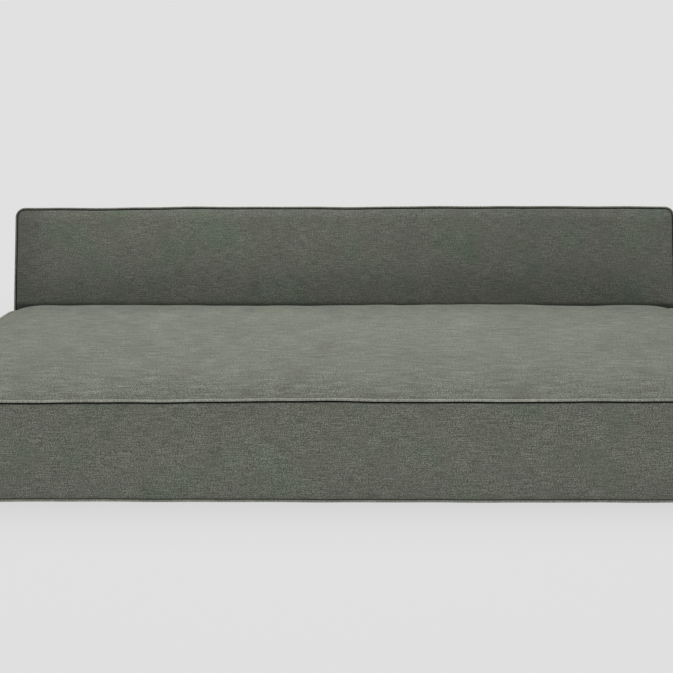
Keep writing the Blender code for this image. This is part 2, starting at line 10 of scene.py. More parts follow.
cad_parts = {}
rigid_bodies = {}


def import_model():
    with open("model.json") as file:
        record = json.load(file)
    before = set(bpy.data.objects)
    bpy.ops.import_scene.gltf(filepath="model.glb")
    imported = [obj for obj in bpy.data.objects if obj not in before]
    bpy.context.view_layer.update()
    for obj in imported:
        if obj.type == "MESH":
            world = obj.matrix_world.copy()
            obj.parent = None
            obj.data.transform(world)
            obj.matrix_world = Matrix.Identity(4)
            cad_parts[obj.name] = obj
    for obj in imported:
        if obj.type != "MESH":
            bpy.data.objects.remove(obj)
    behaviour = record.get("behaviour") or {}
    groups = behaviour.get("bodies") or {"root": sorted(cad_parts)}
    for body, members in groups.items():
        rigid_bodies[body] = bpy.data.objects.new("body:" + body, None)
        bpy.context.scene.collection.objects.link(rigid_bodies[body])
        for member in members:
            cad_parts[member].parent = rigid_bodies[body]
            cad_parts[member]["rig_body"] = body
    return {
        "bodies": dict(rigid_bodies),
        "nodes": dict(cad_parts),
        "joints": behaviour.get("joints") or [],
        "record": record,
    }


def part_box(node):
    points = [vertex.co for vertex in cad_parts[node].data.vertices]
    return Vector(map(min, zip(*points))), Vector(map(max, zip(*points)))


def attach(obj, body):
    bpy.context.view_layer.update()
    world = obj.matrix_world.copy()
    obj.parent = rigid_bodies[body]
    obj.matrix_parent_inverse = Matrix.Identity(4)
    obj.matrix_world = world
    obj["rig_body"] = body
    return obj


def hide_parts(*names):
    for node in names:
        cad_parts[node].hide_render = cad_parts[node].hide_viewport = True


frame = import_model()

# Blender's own startup objects aren't part of the sofa
for thing in list(bpy.context.scene.objects):
    if "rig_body" not in thing and thing not in frame["bodies"].values():
        bpy.data.objects.remove(thing)
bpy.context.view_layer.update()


# ---------------- sizes, in metres

def middle(node, axis):
    """Middle of a CAD node along one axis."""
    low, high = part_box(node)
    return (low[axis] + high[axis]) / 2


def both_sides(span):
    """A span across the sofa's right half, and the one that mirrors it, from left to right."""
    return [sorted((side * span[0], side * span[1])) for side in (-1, 1)]


NEAR = 1e-6  # points closer than this lie on the same line
CORNER_FADE = 0.012  # past a corner, a panel's draw-in fades over this length
PIPING_RADIUS = 0.0034
PIPING_SIDES = 12

HALF_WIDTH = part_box("seat_mattress")[1].x
SEAT_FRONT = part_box("seat_mattress")[0].y
SEAT_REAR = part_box("seat_mattress")[1].y
SEAT_MIDDLE = (SEAT_FRONT + SEAT_REAR) / 2
SEAT_EDGE_Z = middle("seat_top_welt", 2)
SEAT_HEM_Z = middle("seat_bottom_welt", 2) - 0.0022  # the hem's seam lies low on its piping
SEAT_UNDER_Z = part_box("front_rail")[0].z - 0.00015  # just clear of the rails
SEAT_CORNER = 0.025
SEAT_ROLL = 0.0465
SEAT_ROLL_RUN = 0.160
SEAT_END_RUN = 0.200
SEAT_ROLL_FULLNESS = 0.84
SEAT_DOME = 0.005
SEAT_DOME_RUN = 0.260
SEAT_CROWN_START = 0.002  # inside the seam
SEAM_LIP = 0.0012
SEAM_LIP_RUN = 0.010
SEAT_BULGE = 0.0015
SEAT_FRONT_RUN = 0.15  # the front's waves die out over this depth

FOLD = Vector(next(j for j in frame["joints"] if j["name"] == "back_fold")["pos_m"])
RAKE = radians(10)
BACK_FRONT = -0.090
BACK_REAR = 0.090
BACK_TOP = 0.450
BACK_LOW = -0.0755
BACK_CORNER = 0.034
BACK_ROLL = 0.012
BACK_ROLL_RUN = 0.055
BACK_ROLL_FULLNESS = 0.5
BACK_DOME = 0.004
BACK_DOME_RUN = 0.120
BACK_CROWN_START = 0.004  # inside the seam
BACK_CROWN_FOOT = 0.075  # above the lower edge
BACK_BULGE = 0.0022
BACK_TAPER = 0.0022  # share of its width that the back loses towards its top
BACK_SIDE_STRIP = 0.02
REAR_SAG = 0.0015
LOWER_FRONT_RADIUS = 0.060
LOWER_REAR_RADIUS = 0.040

# The hinge arms' slots in the back's foot, and the recesses for the hinge plates in the seat's rear
SLOT_TOP = 0.036
SLOT_X = (1.0049, 1.0378)
NOTCH_X = (0.986, 1.054)
NOTCH_Z = (0.0345, 0.1351)

# Distances from a seam, in millimetres, and how far the cloth is drawn in there
DEEP_SEAM = ((0, 2, 4, 6, 8, 10.5, 13), (3.0, 4.8, 4.4, 2.2, 0.8, 0.1, 0))
SHALLOW_SEAM = ((0, 2, 4, 7, 10), (3.0, 2.2, 1.2, 0.3, 0))
TOP_SEAM = ((0, 2, 4), (1.2, 0.5, 0))
HEM_SEAM = ((-5, 0, 2, 3.5, 4.5, 5.5), (6.5, 6.5, 5.8, 3.0, 0.6, 0))
UNDER_FOLD = ((0, 5, 12, 20), (6.5, 4.0, 1.0, 0))

# Places along four lines of the sofa, in metres, and how far each line strays up there, in millimetres
TOP_STRAY = ((-1.22, -0.83, -0.47, -0.11, 0.14, 0.38, 0.72, 1.22), (0.4, 0.5, 2.6, 5.3, 4.1, 2.9, 4.6, 2.4))
CROWN_STRAY = (
    (-1.21, -1.15, -1.0, -0.8, -0.5, -0.16, 0.2, 0.56, 0.84, 1.0, 1.12, 1.22),
    (-5.0, 1.0, 0.6, 1.2, -0.2, -1.4, 2.2, 3.5, -1.4, 0.4, 0.8, 3.0))
HEM_STRAY = ((-1.22, -0.85, 0.45, 1.22), (1.4, 1.4, -1.3, -1.3))
BACK_STRAY = (
    (-1.22, -1.0, -0.75, -0.5, -0.1, 0.25, 0.6, 0.95, 1.22),
    (-6.5, -6.7, -4.5, -3.0, -2.5, -1.6, -0.4, 0.5, -3.0))

# Seed, lengths and heights of the slow waves in the cloth; the rear's heights are shares of its sag
TOP_WAVES = (11, (0.56, 0.31, 0.17), (0.0004, 0.0004, 0.0003))
HEM_WAVES = (12, (0.42, 0.21), (0.0003, 0.0003))
FRONT_WAVES = (13, (0.95, 0.37, 0.20), (0.0005, 0.0005, 0.0003))
BACK_TOP_WAVES = (21, (0.9, 0.44, 0.23), (0.0008, 0.0006, 0.0004))
REAR_SAG_WAVES = (23, (0.5, 0.27), (0.25, 0.2))

# Grid lines beside a seam, beside the seat's hem and over the back's rolled foot, in millimetres
SEAM_LINES = (0, 1.5, 3, 4.5, 6, 7.5, 9, 11, 13.5, 17, 21, 26, 32, 39, 47, 56, 66, 78, 92)
BORDER_LINES = SEAM_LINES[:13]
HEM_LINES = (0, 2, 3.7, 5.2, 6.7, 8.2, 9.6, 11, 13, 15.5, 19, 25, 33, 42)
FOOT_LINES = range(0, 61, 5)
GRID_STEP = 0.013
WIDE_GRID_STEP = 0.014

# The covers start filled to this share. They settle on rough grids, with this many points along x, y and z, and
# swell by no more than their caps
SEAT_START = 0.97
BACK_START = 0.94
SEAT_ROUGH = (103, 41, 13)
BACK_ROUGH = (103, 9, 25)
SEAT_SWELL_CAP = 0.010
BACK_SWELL_CAP = 0.006
BACK_HELD_FOOT = 0.03
BORDER_SWELL = 0.6  # share of the swell that the seat's borders keep
FOAM_HOLD = 0.45
SETTLE_FRAMES = 20
COVER_CLOTH = {
    "quality": 4, "mass": 0.4, "tension_stiffness": 30, "compression_stiffness": 30, "shear_stiffness": 12,
    "bending_stiffness": 6, "air_damping": 4, "shrink_min": -0.002, "use_pressure": True,
    "uniform_pressure_force": 4.0, "vertex_group_mass": "hold"}


# ---------------- small helpers

def ramp(value, start, end):
    """Smooth step from 0 at start to 1 at end."""
    t = np.clip((value - start) / (end - start), 0, 1)
    return t * t * (3 - 2 * t)


def drawn_in(distance, seam):
    """How far the cloth is drawn in at a distance from a seam."""
    return np.interp(distance * 1000, *seam) / 1000


def bulge(share):
    """Fullness of a padded border: 0 at its two seams and 1 halfway."""
    return np.sin(pi * np.clip(share, 0, 1)) ** 0.7


def waves(s, seed, lengths, heights):
    """Sum of slow waves along a line, the same on each run."""
    turns = np.random.default_rng(seed).uniform(0, 2 * pi, len(lengths))
    total = np.zeros_like(s)
    for length, height, turn in zip(lengths, heights, turns):
        total += height * np.sin(2 * pi * s / length + turn)
    return total


def stray(s, places, heights):
    """Smooth line through a few heights along a seam."""
    total = np.full_like(s, heights[0])
    for start, end, low, high in zip(places, places[1:], heights, heights[1:]):
        total += (high - low) * ramp(s, start, end)
    return total / 1000


def round_corner(u, v, edge_u, edge_v, sign_u, sign_v, radius):
    """Turns one square corner of an outline into a quarter circle."""
    a = np.clip((u * sign_u - edge_u * sign_u) / radius + 1, 0, 1)
    b = np.clip((v * sign_v - edge_v * sign_v) / radius + 1, 0, 1)
    du = sign_u * radius * a * (np.sqrt(1 - b * b / 2) - 1)
    dv = sign_v * radius * b * (np.sqrt(1 - a * a / 2) - 1)
    return u + du, v + dv


def crown(edge_u, edge_v, roll, run_u, run_v, fullness, dome, dome_run):
    """Rise of a padded face over its seams: a roll, the rounder the lower its fullness, and then a gentle dome."""
    def nearness(u, v, power):
        return np.clip((np.clip(1 - u, 0, 1) ** power + np.clip(1 - v, 0, 1) ** power) ** (1 / power), 0, 1)
    rise = roll * (1 - nearness(edge_u / run_u, edge_v / run_v, 4) ** 2) ** fullness
    return rise + dome * (1 - nearness((edge_u - run_u) / dome_run, (edge_v - run_v) / dome_run, 3) ** 2)


def grid_lines(low, high, step, low_lines=SEAM_LINES, high_lines=SEAM_LINES, stops=()):
    """Grid lines over a panel: close beside its seams, even between them, with one at each stop."""
    first = [low + mm / 1000 for mm in low_lines]
    last = [high - mm / 1000 for mm in high_lines]
    count = max(2, round((last[-1] - first[-1]) / step) + 1)
    lines = np.array(sorted(first + list(np.linspace(first[-1], last[-1], count)[1:-1]) + last))
    for stop in stops:
        lines = np.append(lines[np.abs(lines - stop) > 0.45 * step], stop)
    return np.sort(lines)


def panel_box(xs, ys, zs):
    """Box of six grid panels that share their edge points: the flat points, and each panel's point numbers."""
    shape = (len(xs), len(ys), len(zs))
    skin = np.zeros(shape, bool)
    skin[[0, -1]] = True
    skin[:, [0, -1]] = True
    skin[:, :, [0, -1]] = True
    ids = np.full(shape, -1)
    ids[skin] = np.arange(skin.sum())
    flat = np.stack(np.meshgrid(xs, ys, zs, indexing="ij"), -1)[skin]
    panels = {
        "left": (ids[0], (1, 2)), "right": (ids[-1], (1, 2)),
        "front": (ids[:, 0], (0, 2)), "rear": (ids[:, -1], (0, 2)),
        "under": (ids[:, :, 0], (0, 1)), "top": (ids[:, :, -1], (0, 1)),
    }
    return flat, panels


def quads_of(ids):
    """Quads of one panel's grid of point numbers."""
    corners = (ids[:-1, :-1], ids[1:, :-1], ids[1:, 1:], ids[:-1, 1:])
    return np.stack([c.ravel() for c in corners], 1)


def box_mesh(name, points, panels):
    """Mesh of the six panels of a box."""
    mesh = bpy.data.meshes.new(name)
    mesh.from_pydata(points.tolist(), [], np.concatenate([quads_of(ids) for ids, _ in panels.values()]).tolist())
    return mesh


def reopened(mesh):
    """A mesh opened again for modelling."""
    bm = bmesh.new()
    bm.from_mesh(mesh)
    bm.verts.index_update()
    return bm


def close_outward(bm, mesh):
    """Puts what was modelled back on its mesh, with all faces outward."""
    bmesh.ops.recalc_face_normals(bm, faces=bm.faces)
    bm.to_mesh(mesh)
    bm.free()


def mesh_of(bm, name):
    """New mesh of what was modelled, which is then freed."""
    mesh = bpy.data.meshes.new(name)
    bm.to_mesh(mesh)
    bm.free()
    return mesh


def link(name, mesh):
    """Object of a mesh, in the scene."""
    made = bpy.data.objects.new(name, mesh)
    bpy.context.scene.collection.objects.link(made)
    return made


def evaluated_mesh(thing):
    """Plain mesh of an object as its modifiers leave it."""
    return bpy.data.meshes.new_from_object(thing.evaluated_get(bpy.context.evaluated_depsgraph_get()))


def in_order(mesh):
    """The same mesh with its points and faces in a fixed order, which Blender's cuts leave to chance."""
    points = sorted(mesh.vertices, key=lambda point: point.co.to_tuple(7))
    number = {point.index: i for i, point in enumerate(points)}
    faces = [[number[n] for n in face.vertices] for face in mesh.polygons]
    faces = sorted(face[face.index(min(face)):] + face[:face.index(min(face))] for face in faces)
    made = bpy.data.meshes.new(mesh.name)
    made.from_pydata([point.co for point in points], [], faces)
    return made


def cover_mesh(name, points, flat, panels, crease, dye):
    """Mesh of a cover, with its weave coordinates in metres and its painted shade and dye clouds on its points."""
    mesh = box_mesh(name, points, panels)
    weave = np.concatenate([flat[quads_of(ids)][:, :, axes].reshape(-1, 2) for ids, axes in panels.values()])
    mesh.uv_layers.new(name="weave").data.foreach_set("uv", weave.astype(np.float32).ravel())
    for attribute, values in (("crease", crease), ("dye", dye)):
        mesh.attributes.new(attribute, "FLOAT", "POINT").data.foreach_set("value", values.astype(np.float32))
    mesh.polygons.foreach_set("use_smooth", [True] * len(mesh.polygons))
    return mesh


def settle(name, points, panels, held, cap):
    """Inflates a stitched cover with Blender's Cloth, held fast along its seams and loosely by the foam under it,
    and gives how far each point moved."""
    mesh = box_mesh(name, points, panels)
    close_outward(reopened(mesh), mesh)
    cover = link(name, mesh)
    hold = cover.vertex_groups.new(name="hold")
    hold.add(np.flatnonzero(held).tolist(), 1.0, "REPLACE")
    hold.add(np.flatnonzero(~held).tolist(), FOAM_HOLD, "REPLACE")
    cloth = cover.modifiers.new("cloth", "CLOTH")
    for setting, value in COVER_CLOTH.items():
        setattr(cloth.settings, setting, value)
    cloth.settings.effector_weights.gravity = 0
    cloth.collision_settings.use_collision = False
    cloth.point_cache.frame_start = 1
    cloth.point_cache.frame_end = SETTLE_FRAMES
    scene = bpy.context.scene
    for number in range(1, SETTLE_FRAMES + 1):
        scene.frame_set(number)
    done = cover.evaluated_get(bpy.context.evaluated_depsgraph_get()).to_mesh()
    moved = np.zeros(len(points) * 3)
    done.vertices.foreach_get("co", moved)
    moved = moved.reshape(-1, 3) - points
    scene.frame_set(1)
    bpy.data.objects.remove(cover)
    bpy.data.meshes.remove(mesh)
    length = np.linalg.norm(moved, axis=1, keepdims=True) + 1e-9
    return moved * (cap * np.tanh(length / cap) / length)


def cubic_weights(lines, count):
    """Weights that carry values from an even row of points smoothly over to the given lines."""
    place = (lines - lines[0]) / (lines[-1] - lines[0]) * (count - 1)
    low = np.minimum(place.astype(int), count - 2)
    t = place - low
    shares = (t * (t * (2 - t) - 1), t * t * (3 * t - 5) + 2, t * (t * (4 - 3 * t) + 1), t * t * (t - 1))
    table = np.zeros((len(lines), count))
    for shift, share in enumerate(shares):
        np.add.at(table, (np.arange(len(lines)), np.clip(low + shift - 1, 0, count - 1)), share / 2)
    return table


def swell(name, shape, counts, lines, panels, backed, cap, border_share=1.0):
    """How far each point of a cover moves as it settles: worked out on a rough grid and carried over to the fine
    one. The box's edges and what is backed by the frame are held, and all below its top takes the border's share."""
    flat, rough_panels = panel_box(*(np.linspace(line[0], line[-1], count) for line, count in zip(lines, counts)))
    sides = sum((np.abs(flat[:, i] - end) < NEAR).astype(int) for i in range(3) for end in (lines[i][0], lines[i][-1]))
    moved = settle(name, shape(flat), rough_panels, (sides > 1) | backed(flat), cap)
    moved[flat[:, 2] < lines[2][-1] - NEAR] *= border_share
    shift = np.zeros((1 + max(ids.max() for ids, _ in panels.values()), 3))
    for panel, (ids, axes) in panels.items():
        rough = moved[rough_panels[panel][0]]
        across, along = (cubic_weights(lines[axis], count) for axis, count in zip(axes, rough.shape))
        shift[ids.ravel()] = np.einsum("ai,bj,ijc->abc", across, along, rough).reshape(-1, 3)
    return shift


def window_faces(bm, flat, panel, u_range, v_range):
    """Faces of one panel inside a window of its flat grid."""
    ids, (u, v) = panel
    quads = quads_of(ids)
    centres = flat[quads].mean(1)
    inside = (centres[:, u] > u_range[0]) & (centres[:, u] < u_range[1])
    inside &= (centres[:, v] > v_range[0]) & (centres[:, v] < v_range[1])
    bm.verts.ensure_lookup_table()
    found = []
    for quad in quads[inside]:
        corners = set(quad.tolist())
        found.append(next(f for f in bm.verts[quad[0]].link_faces if {w.index for w in f.verts} == corners))
    return found


def finish_piece(piece, body, slot, *nodes):
    """Puts a piece on its body and hides the nodes it stands for; its slot is not used."""
    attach(piece, body)
    if nodes:
        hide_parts(*nodes)


# ---------------- materials

def tone(hex_code):
    """Linear colour of an sRGB hex value."""
    parts = [int(hex_code[i:i + 2], 16) / 255 for i in (1, 3, 5)]
    return [p / 12.92 if p <= 0.04045 else ((p + 0.055) / 1.055) ** 2.4 for p in parts] + [1.0]


def add_node(tree, kind, inputs=(), **settings):
    """Adds a node, sets it up, and sets or links its inputs, given by name or in order. Another node that is given
    there gives its first live output."""
    made = tree.nodes.new(kind)
    for name, value in settings.items():
        setattr(made, name, value)
    for name, value in (inputs.items() if isinstance(inputs, dict) else enumerate(inputs)):
        if isinstance(value, bpy.types.Node):
            value = next(output for output in value.outputs if output.enabled)
        if isinstance(value, bpy.types.NodeSocket):
            tree.links.new(value, made.inputs[name])
        else:
            made.inputs[name].default_value = value
    return made


def new_material(name, uv_map=None):
    """Empty material, what adds a node to it, and its coordinates: the object's, or a map of the piece's own."""
    made = bpy.data.materials.new(name)
    made.use_nodes = True
    made.node_tree.nodes.clear()
    add = partial(add_node, made.node_tree)
    if uv_map:
        return made, add, add("ShaderNodeUVMap", uv_map=uv_map).outputs["UV"]
    return made, add, add("ShaderNodeTexCoord").outputs["Object"]


def finish_material(made, height, strength, depth, **values):
    """Ends a material: its relief, and its shader with the plain values on its own sockets."""
    tree = made.node_tree
    relief = add_node(tree, "ShaderNodeBump", {"Height": height, "Strength": strength, "Distance": depth})
    sockets = {name.replace("_", " "): value for name, value in values.items()}
    shader = add_node(tree, "ShaderNodeBsdfPrincipled", {**sockets, "Normal": relief})
    add_node(tree, "ShaderNodeOutputMaterial", {"Surface": shader})
    return made


YARN_PITCH = 0.002
# For weft and warp: the length of a dash of tone, the way across the yarns, and where the pattern starts
YARN_LANES = (
    ((1 / 0.0032, 0, 0), (0, 1, 0), (0, 0.5, 3.1)),
    ((0, 1 / 0.0026, 0), (1, 0, 0), (0.5, 0, 8.3)))
# Width, height and share of the level slubs and of the upright streaks
SLUBS = ((0.045, 0.0030, 0.30), (0.0030, 0.026, 0.12))
# How much of the green dye shows as clouds: least on the seat's top, which light has bleached
SEAT_TOP_DYE = 0.15
BORDER_DYE = 0.75
BACK_DYE = 1.0


def linen(name, dark, light, green, contrast, uv_map=None):
    """Upholstery linen: a matt plain weave with thick and thin yarns, so that short dashes of yarn, level slubs,
    upright streaks and slow clouds of dye show, with a soft bloom at glancing angles. Its yarns are drawn 2 mm
    apart and the slubs 3 mm thick, about twice the size of real ones, so that they show in the render."""
    made, add, place = new_material(name, uv_map)

    # Each yarn has its own dashes of tone, 3 to 7 mm long; yarns pass over and under in turn
    pitch = add("ShaderNodeMapping", {"Vector": place, "Scale": [1 / YARN_PITCH] * 3})
    count = add("ShaderNodeVectorMath", [pitch], operation="FLOOR")
    dashes = []
    for along, across, start in YARN_LANES:
        lane = add("ShaderNodeVectorMath", [count, across, start], operation="MULTIPLY_ADD")
        lane = add("ShaderNodeVectorMath", [place, along, lane], operation="MULTIPLY_ADD")
        dashes.append(add("ShaderNodeTexNoise", {"Vector": lane, "Scale": 1.0, "Detail": 1.0}))
    turn = add("ShaderNodeVectorMath", [count, (1, 1, 0)], operation="DOT_PRODUCT")
    turn = add("ShaderNodeMath", [turn, 2.0], operation="FLOORED_MODULO")
    weave = add("ShaderNodeMix", {"Factor": turn, "A": dashes[0], "B": dashes[1]})
    threads = add("ShaderNodeMath", [weave, 0.84, -0.13], operation="MULTIPLY_ADD")
    for number, (width, height, share) in enumerate(SLUBS):
        scaled = add("ShaderNodeMapping", {
            "Vector": place, "Location": (number * 3.7, 1.3, 0), "Scale": (1 / width, 1 / height, 1 / 0.003)})
        noise = add("ShaderNodeTexNoise", {"Vector": scaled, "Scale": 1.0, "Detail": 1.0})
        threads = add("ShaderNodeMath", [noise, share, threads], operation="MULTIPLY_ADD")

    # Sitting wears the seat's top: by its dye, its yarns are plainer, its shade is patchier and banded, and its
    # green is evened out to a tint
    dye = add("ShaderNodeAttribute", attribute_name="dye").outputs["Fac"]
    worn, patchy, banded, tint = (
        add("ShaderNodeMapRange", {
            "Value": dye, "From Min": SEAT_TOP_DYE, "From Max": BORDER_DYE, "To Min": seat_top, "To Max": elsewhere})
        for seat_top, elsewhere in ((0.68, 1.0), (0.115, 0.060), (0.17, 0.0), (0.12, 0.0)))

    # Stretches 90 mm long where the yarns are livelier or plainer
    stretches = add("ShaderNodeTexNoise", {"Vector": place, "Scale": 1 / 0.09, "Detail": 1.0})
    lively = add("ShaderNodeMapRange", {
        "Value": stretches, "From Min": 0.35, "From Max": 0.65, "To Min": 0.7, "To Max": 1.4})
    lively = add("ShaderNodeMath", [lively, worn], operation="MULTIPLY")
    spread = add("ShaderNodeMath", [threads, 0.5], operation="SUBTRACT")
    spread = add("ShaderNodeMath", [spread, lively], operation="MULTIPLY")

    # Slow changes of shade, 40 to 250 mm across, and level bands 13 mm wide
    shade = add("ShaderNodeTexNoise", {"Vector": place, "Scale": 1 / 0.25, "Detail": 3.0, "Roughness": 0.6})
    scaled = add("ShaderNodeMapping", {"Vector": place, "Scale": (1 / 0.07, 1 / 0.013, 1 / 0.07)})
    band = add("ShaderNodeTexNoise", {"Vector": scaled, "Scale": 1.0, "Detail": 1.0})
    for slow, strength in ((shade, patchy), (band, banded)):
        centred = add("ShaderNodeMath", [slow, 0.5], operation="SUBTRACT")
        spread = add("ShaderNodeMath", [centred, strength, spread], operation="MULTIPLY_ADD")
    yarn = add("ShaderNodeMapRange", {
        "Value": spread, "From Min": 0.007 - 0.66 * contrast, "From Max": 0.007 + 1.33 * contrast})
    cloth = add("ShaderNodeMix", {"Factor": yarn, 6: tone(dark), 7: tone(light)}, data_type="RGBA")

    # Clouds where the dye took greener, 40 to 300 mm across
    cloud = add("ShaderNodeTexNoise", {"Vector": place, "Scale": 1 / 0.20, "Detail": 3.0, "Roughness": 0.6})
    patch = add("ShaderNodeMapRange", {"Value": cloud, "From Min": 0.48, "From Max": 0.70})
    patch = add("ShaderNodeMath", [patch, dye, tint], operation="MULTIPLY_ADD")
    dyed = add("ShaderNodeMix", {"Factor": patch, 6: cloth, 7: tone(green)}, data_type="RGBA", blend_type="MULTIPLY")

    # Painted shade towards near black: deep in the seams and on the piping's seam side, along the seat's rear, and
    # over the back's front, most behind the seat
    crease = add("ShaderNodeAttribute", attribute_name="crease").outputs["Fac"]
    shaded = add("ShaderNodeMix", {"Factor": crease, 6: dyed, 7: tone("#0c0d0a")}, data_type="RGBA")

    # Over and under of the yarns
    arch = add("ShaderNodeVectorMath", {0: pitch, "Scale": pi}, operation="SCALE")
    split = add("ShaderNodeSeparateXYZ", [arch]).outputs
    warp, weft = (add("ShaderNodeMath", [split[i]], operation="SINE") for i in (0, 1))
    crossing = add("ShaderNodeMath", [warp, weft], operation="MULTIPLY")
    crest = add("ShaderNodeMath", [crossing], operation="ABSOLUTE")
    relief = add("ShaderNodeMath", [threads, 1.5, crest], operation="MULTIPLY_ADD")
    return finish_material(made, relief, 0.45, 0.0007, Base_Color=shaded, Roughness=0.92, Specular_IOR_Level=0.2,
                           Sheen_Weight=0.06, Sheen_Roughness=0.5)


def pine(name, along):
    """Planed softwood, unfinished: pale straw early wood with narrow tan late-wood lines, 4 mm apart along
    the board, and a dull, slightly fibrous surface."""
    made, add, place = new_material(name)
    noises = []
    for width, length, detail in ((0.030, 0.600, 3.0), (0.0012, 0.040, 2.0)):
        stretch = [1 / width] * 3
        stretch[along] = 1 / length
        scaled = add("ShaderNodeMapping", {"Vector": place, "Scale": stretch})
        noises.append(add("ShaderNodeTexNoise", {"Vector": scaled, "Scale": 1.0, "Detail": detail}))
    swirl, fibre = noises
    rings = add("ShaderNodeMath", [swirl, 42.0], operation="MULTIPLY")
    lines = add("ShaderNodeMath", [rings], operation="SINE")
    late = add("ShaderNodeMapRange", {"Value": lines, "From Min": 0.1, "From Max": 1.0})
    wood = add("ShaderNodeMix", {"Factor": late, 6: tone("#d9bd8e"), 7: tone("#b98a55")}, data_type="RGBA")
    planed = add("ShaderNodeMix", {"Factor": fibre, 6: wood, 7: tone("#c7a678")}, data_type="RGBA")
    rough = add("ShaderNodeMapRange", {"Value": fibre, "To Min": 0.5, "To Max": 0.75})
    return finish_material(made, fibre, 0.25, 0.0004, Base_Color=planed, Roughness=rough, Specular_IOR_Level=0.35)


def birch_plywood():
    """Rotary-cut birch veneer, sanded: even cream with faint waves of figure and small pores along the sheet."""
    made, add, place = new_material("birch_plywood")
    scaled = add("ShaderNodeMapping", {"Vector": place, "Scale": (1 / 0.4, 1 / 0.05, 1 / 0.05)})
    figure = add("ShaderNodeTexNoise", {"Vector": scaled, "Scale": 1.0, "Detail": 4.0})
    scaled = add("ShaderNodeMapping", {"Vector": place, "Scale": (1 / 0.02, 1 / 0.001, 1 / 0.001)})
    pores = add("ShaderNodeTexNoise", {"Vector": scaled, "Scale": 1.0})
    sheet = add("ShaderNodeMix", {"Factor": figure, 6: tone("#dcc39a"), 7: tone("#c6a574")}, data_type="RGBA")
    return finish_material(made, pores, 0.2, 0.0003, Base_Color=sheet, Roughness=0.6, Specular_IOR_Level=0.35)


def zinc_plated_steel():
    """Pressed steel with bright zinc plate: a cool grey metal with fine drawn lines and cloudy passivation."""
    made, add, place = new_material("zinc_plated_steel")
    cloud = add("ShaderNodeTexNoise", {"Vector": place, "Scale": 1 / 0.018, "Detail": 4.0})
    scaled = add("ShaderNodeMapping", {"Vector": place, "Scale": (1 / 0.0012, 1 / 0.0012, 1 / 0.05)})
    drawn = add("ShaderNodeTexNoise", {"Vector": scaled, "Scale": 1.0, "Detail": 2.0})
    plate = add("ShaderNodeMix", {"Factor": cloud, 6: tone("#b4b9bd"), 7: tone("#c9c7b8")}, data_type="RGBA")
    rough = add("ShaderNodeMapRange", {"Value": cloud, "To Min": 0.28, "To Max": 0.48})
    return finish_material(made, drawn, 0.12, 0.0003, Base_Color=plate, Roughness=rough, Metallic=1.0)


def grained_black(name, colour, pale, grit, roughness):
    """Black moulding with a fine grain from its mould: a dull dark surface that scuffs a little paler."""
    made, add, place = new_material(name)
    grain = add("ShaderNodeTexNoise", {"Vector": place, "Scale": 1 / grit, "Detail": 2.0})
    scuff = add("ShaderNodeTexNoise", {"Vector": place, "Scale": 1 / (grit * 14), "Detail": 4.0})
    shade = add("ShaderNodeMapRange", {"Value": scuff, "From Min": 0.5, "From Max": 0.8, "To Max": 0.6})
    body = add("ShaderNodeMix", {"Factor": shade, 6: tone(colour), 7: tone(pale)}, data_type="RGBA")
    rough = add("ShaderNodeMapRange", {"Value": grain, "To Min": roughness - 0.08, "To Max": roughness + 0.08})
    return finish_material(made, grain, 0.3, 0.0004, Base_Color=body, Roughness=rough, IOR=1.49)


def nonwoven_lining():
    """Spunbond polypropylene cloth: thin, black and dull, with crossed fibres and rows of pressed bond points."""
    made, add, place = new_material("nonwoven_lining")
    bonds = add("ShaderNodeTexVoronoi", {"Vector": place, "Scale": 1 / 0.004, "Randomness": 0.15})
    fibre = add("ShaderNodeTexNoise", {"Vector": place, "Scale": 1 / 0.006, "Detail": 5.0, "Distortion": 2.0})
    cloth = add("ShaderNodeMix", {"Factor": fibre, 6: tone("#191a1b"), 7: tone("#37393a")}, data_type="RGBA")
    return finish_material(made, bonds, 0.5, 0.0006, Base_Color=cloth, Roughness=0.85, Sheen_Weight=0.2)


cover_linen = linen("olive_linen_weave", "#5a5b52", "#95988d", "#eefff4", 0.131, "weave")
# A paler, plainer copy of the cover linen for the piping: its paleness is painted highlight, where light would catch
# the round cord
piping_linen = linen("painted_highlight_linen_piping", "#7b7d72", "#c1c3b8", "#ffffff", 0.165)
steel = zinc_plated_steel()
pine_boards = [pine(f"planed_pine_along_{axis}", i) for i, axis in enumerate("xyz")]
plywood = birch_plywood()
glide_plastic = grained_black("moulded_polypropylene", "#17181a", "#3a3b3d", 0.0012, 0.45)
cap_rubber = grained_black("moulded_rubber", "#1b1b1b", "#3f3e3c", 0.0016, 0.75)
lining = nonwoven_lining()


# ---------------- repeats and paths, in Geometry Nodes

def new_tree(name, sizes):
    """Empty geometry tree with a geometry socket each way and one named input for each size, what adds a node to
    it, and its inputs."""
    tree = bpy.data.node_groups.new(name, "GeometryNodeTree")
    tree.interface.new_socket("Geometry", in_out="INPUT", socket_type="NodeSocketGeometry")
    for size, kind in sizes.items():
        tree.interface.new_socket(size, in_out="INPUT", socket_type=kind)
    tree.interface.new_socket("Geometry", in_out="OUTPUT", socket_type="NodeSocketGeometry")
    add = partial(add_node, tree)
    return tree, add, add("NodeGroupInput").outputs


def finish_tree(tree, geometry, finish):
    """Ends a geometry tree: all of it real, and in one finish."""
    real = add_node(tree, "GeometryNodeRealizeInstances", {"Geometry": geometry})
    dressed = add_node(tree, "GeometryNodeSetMaterial", {"Geometry": real, "Material": finish})
    add_node(tree, "NodeGroupOutput", {"Geometry": dressed})
    return tree


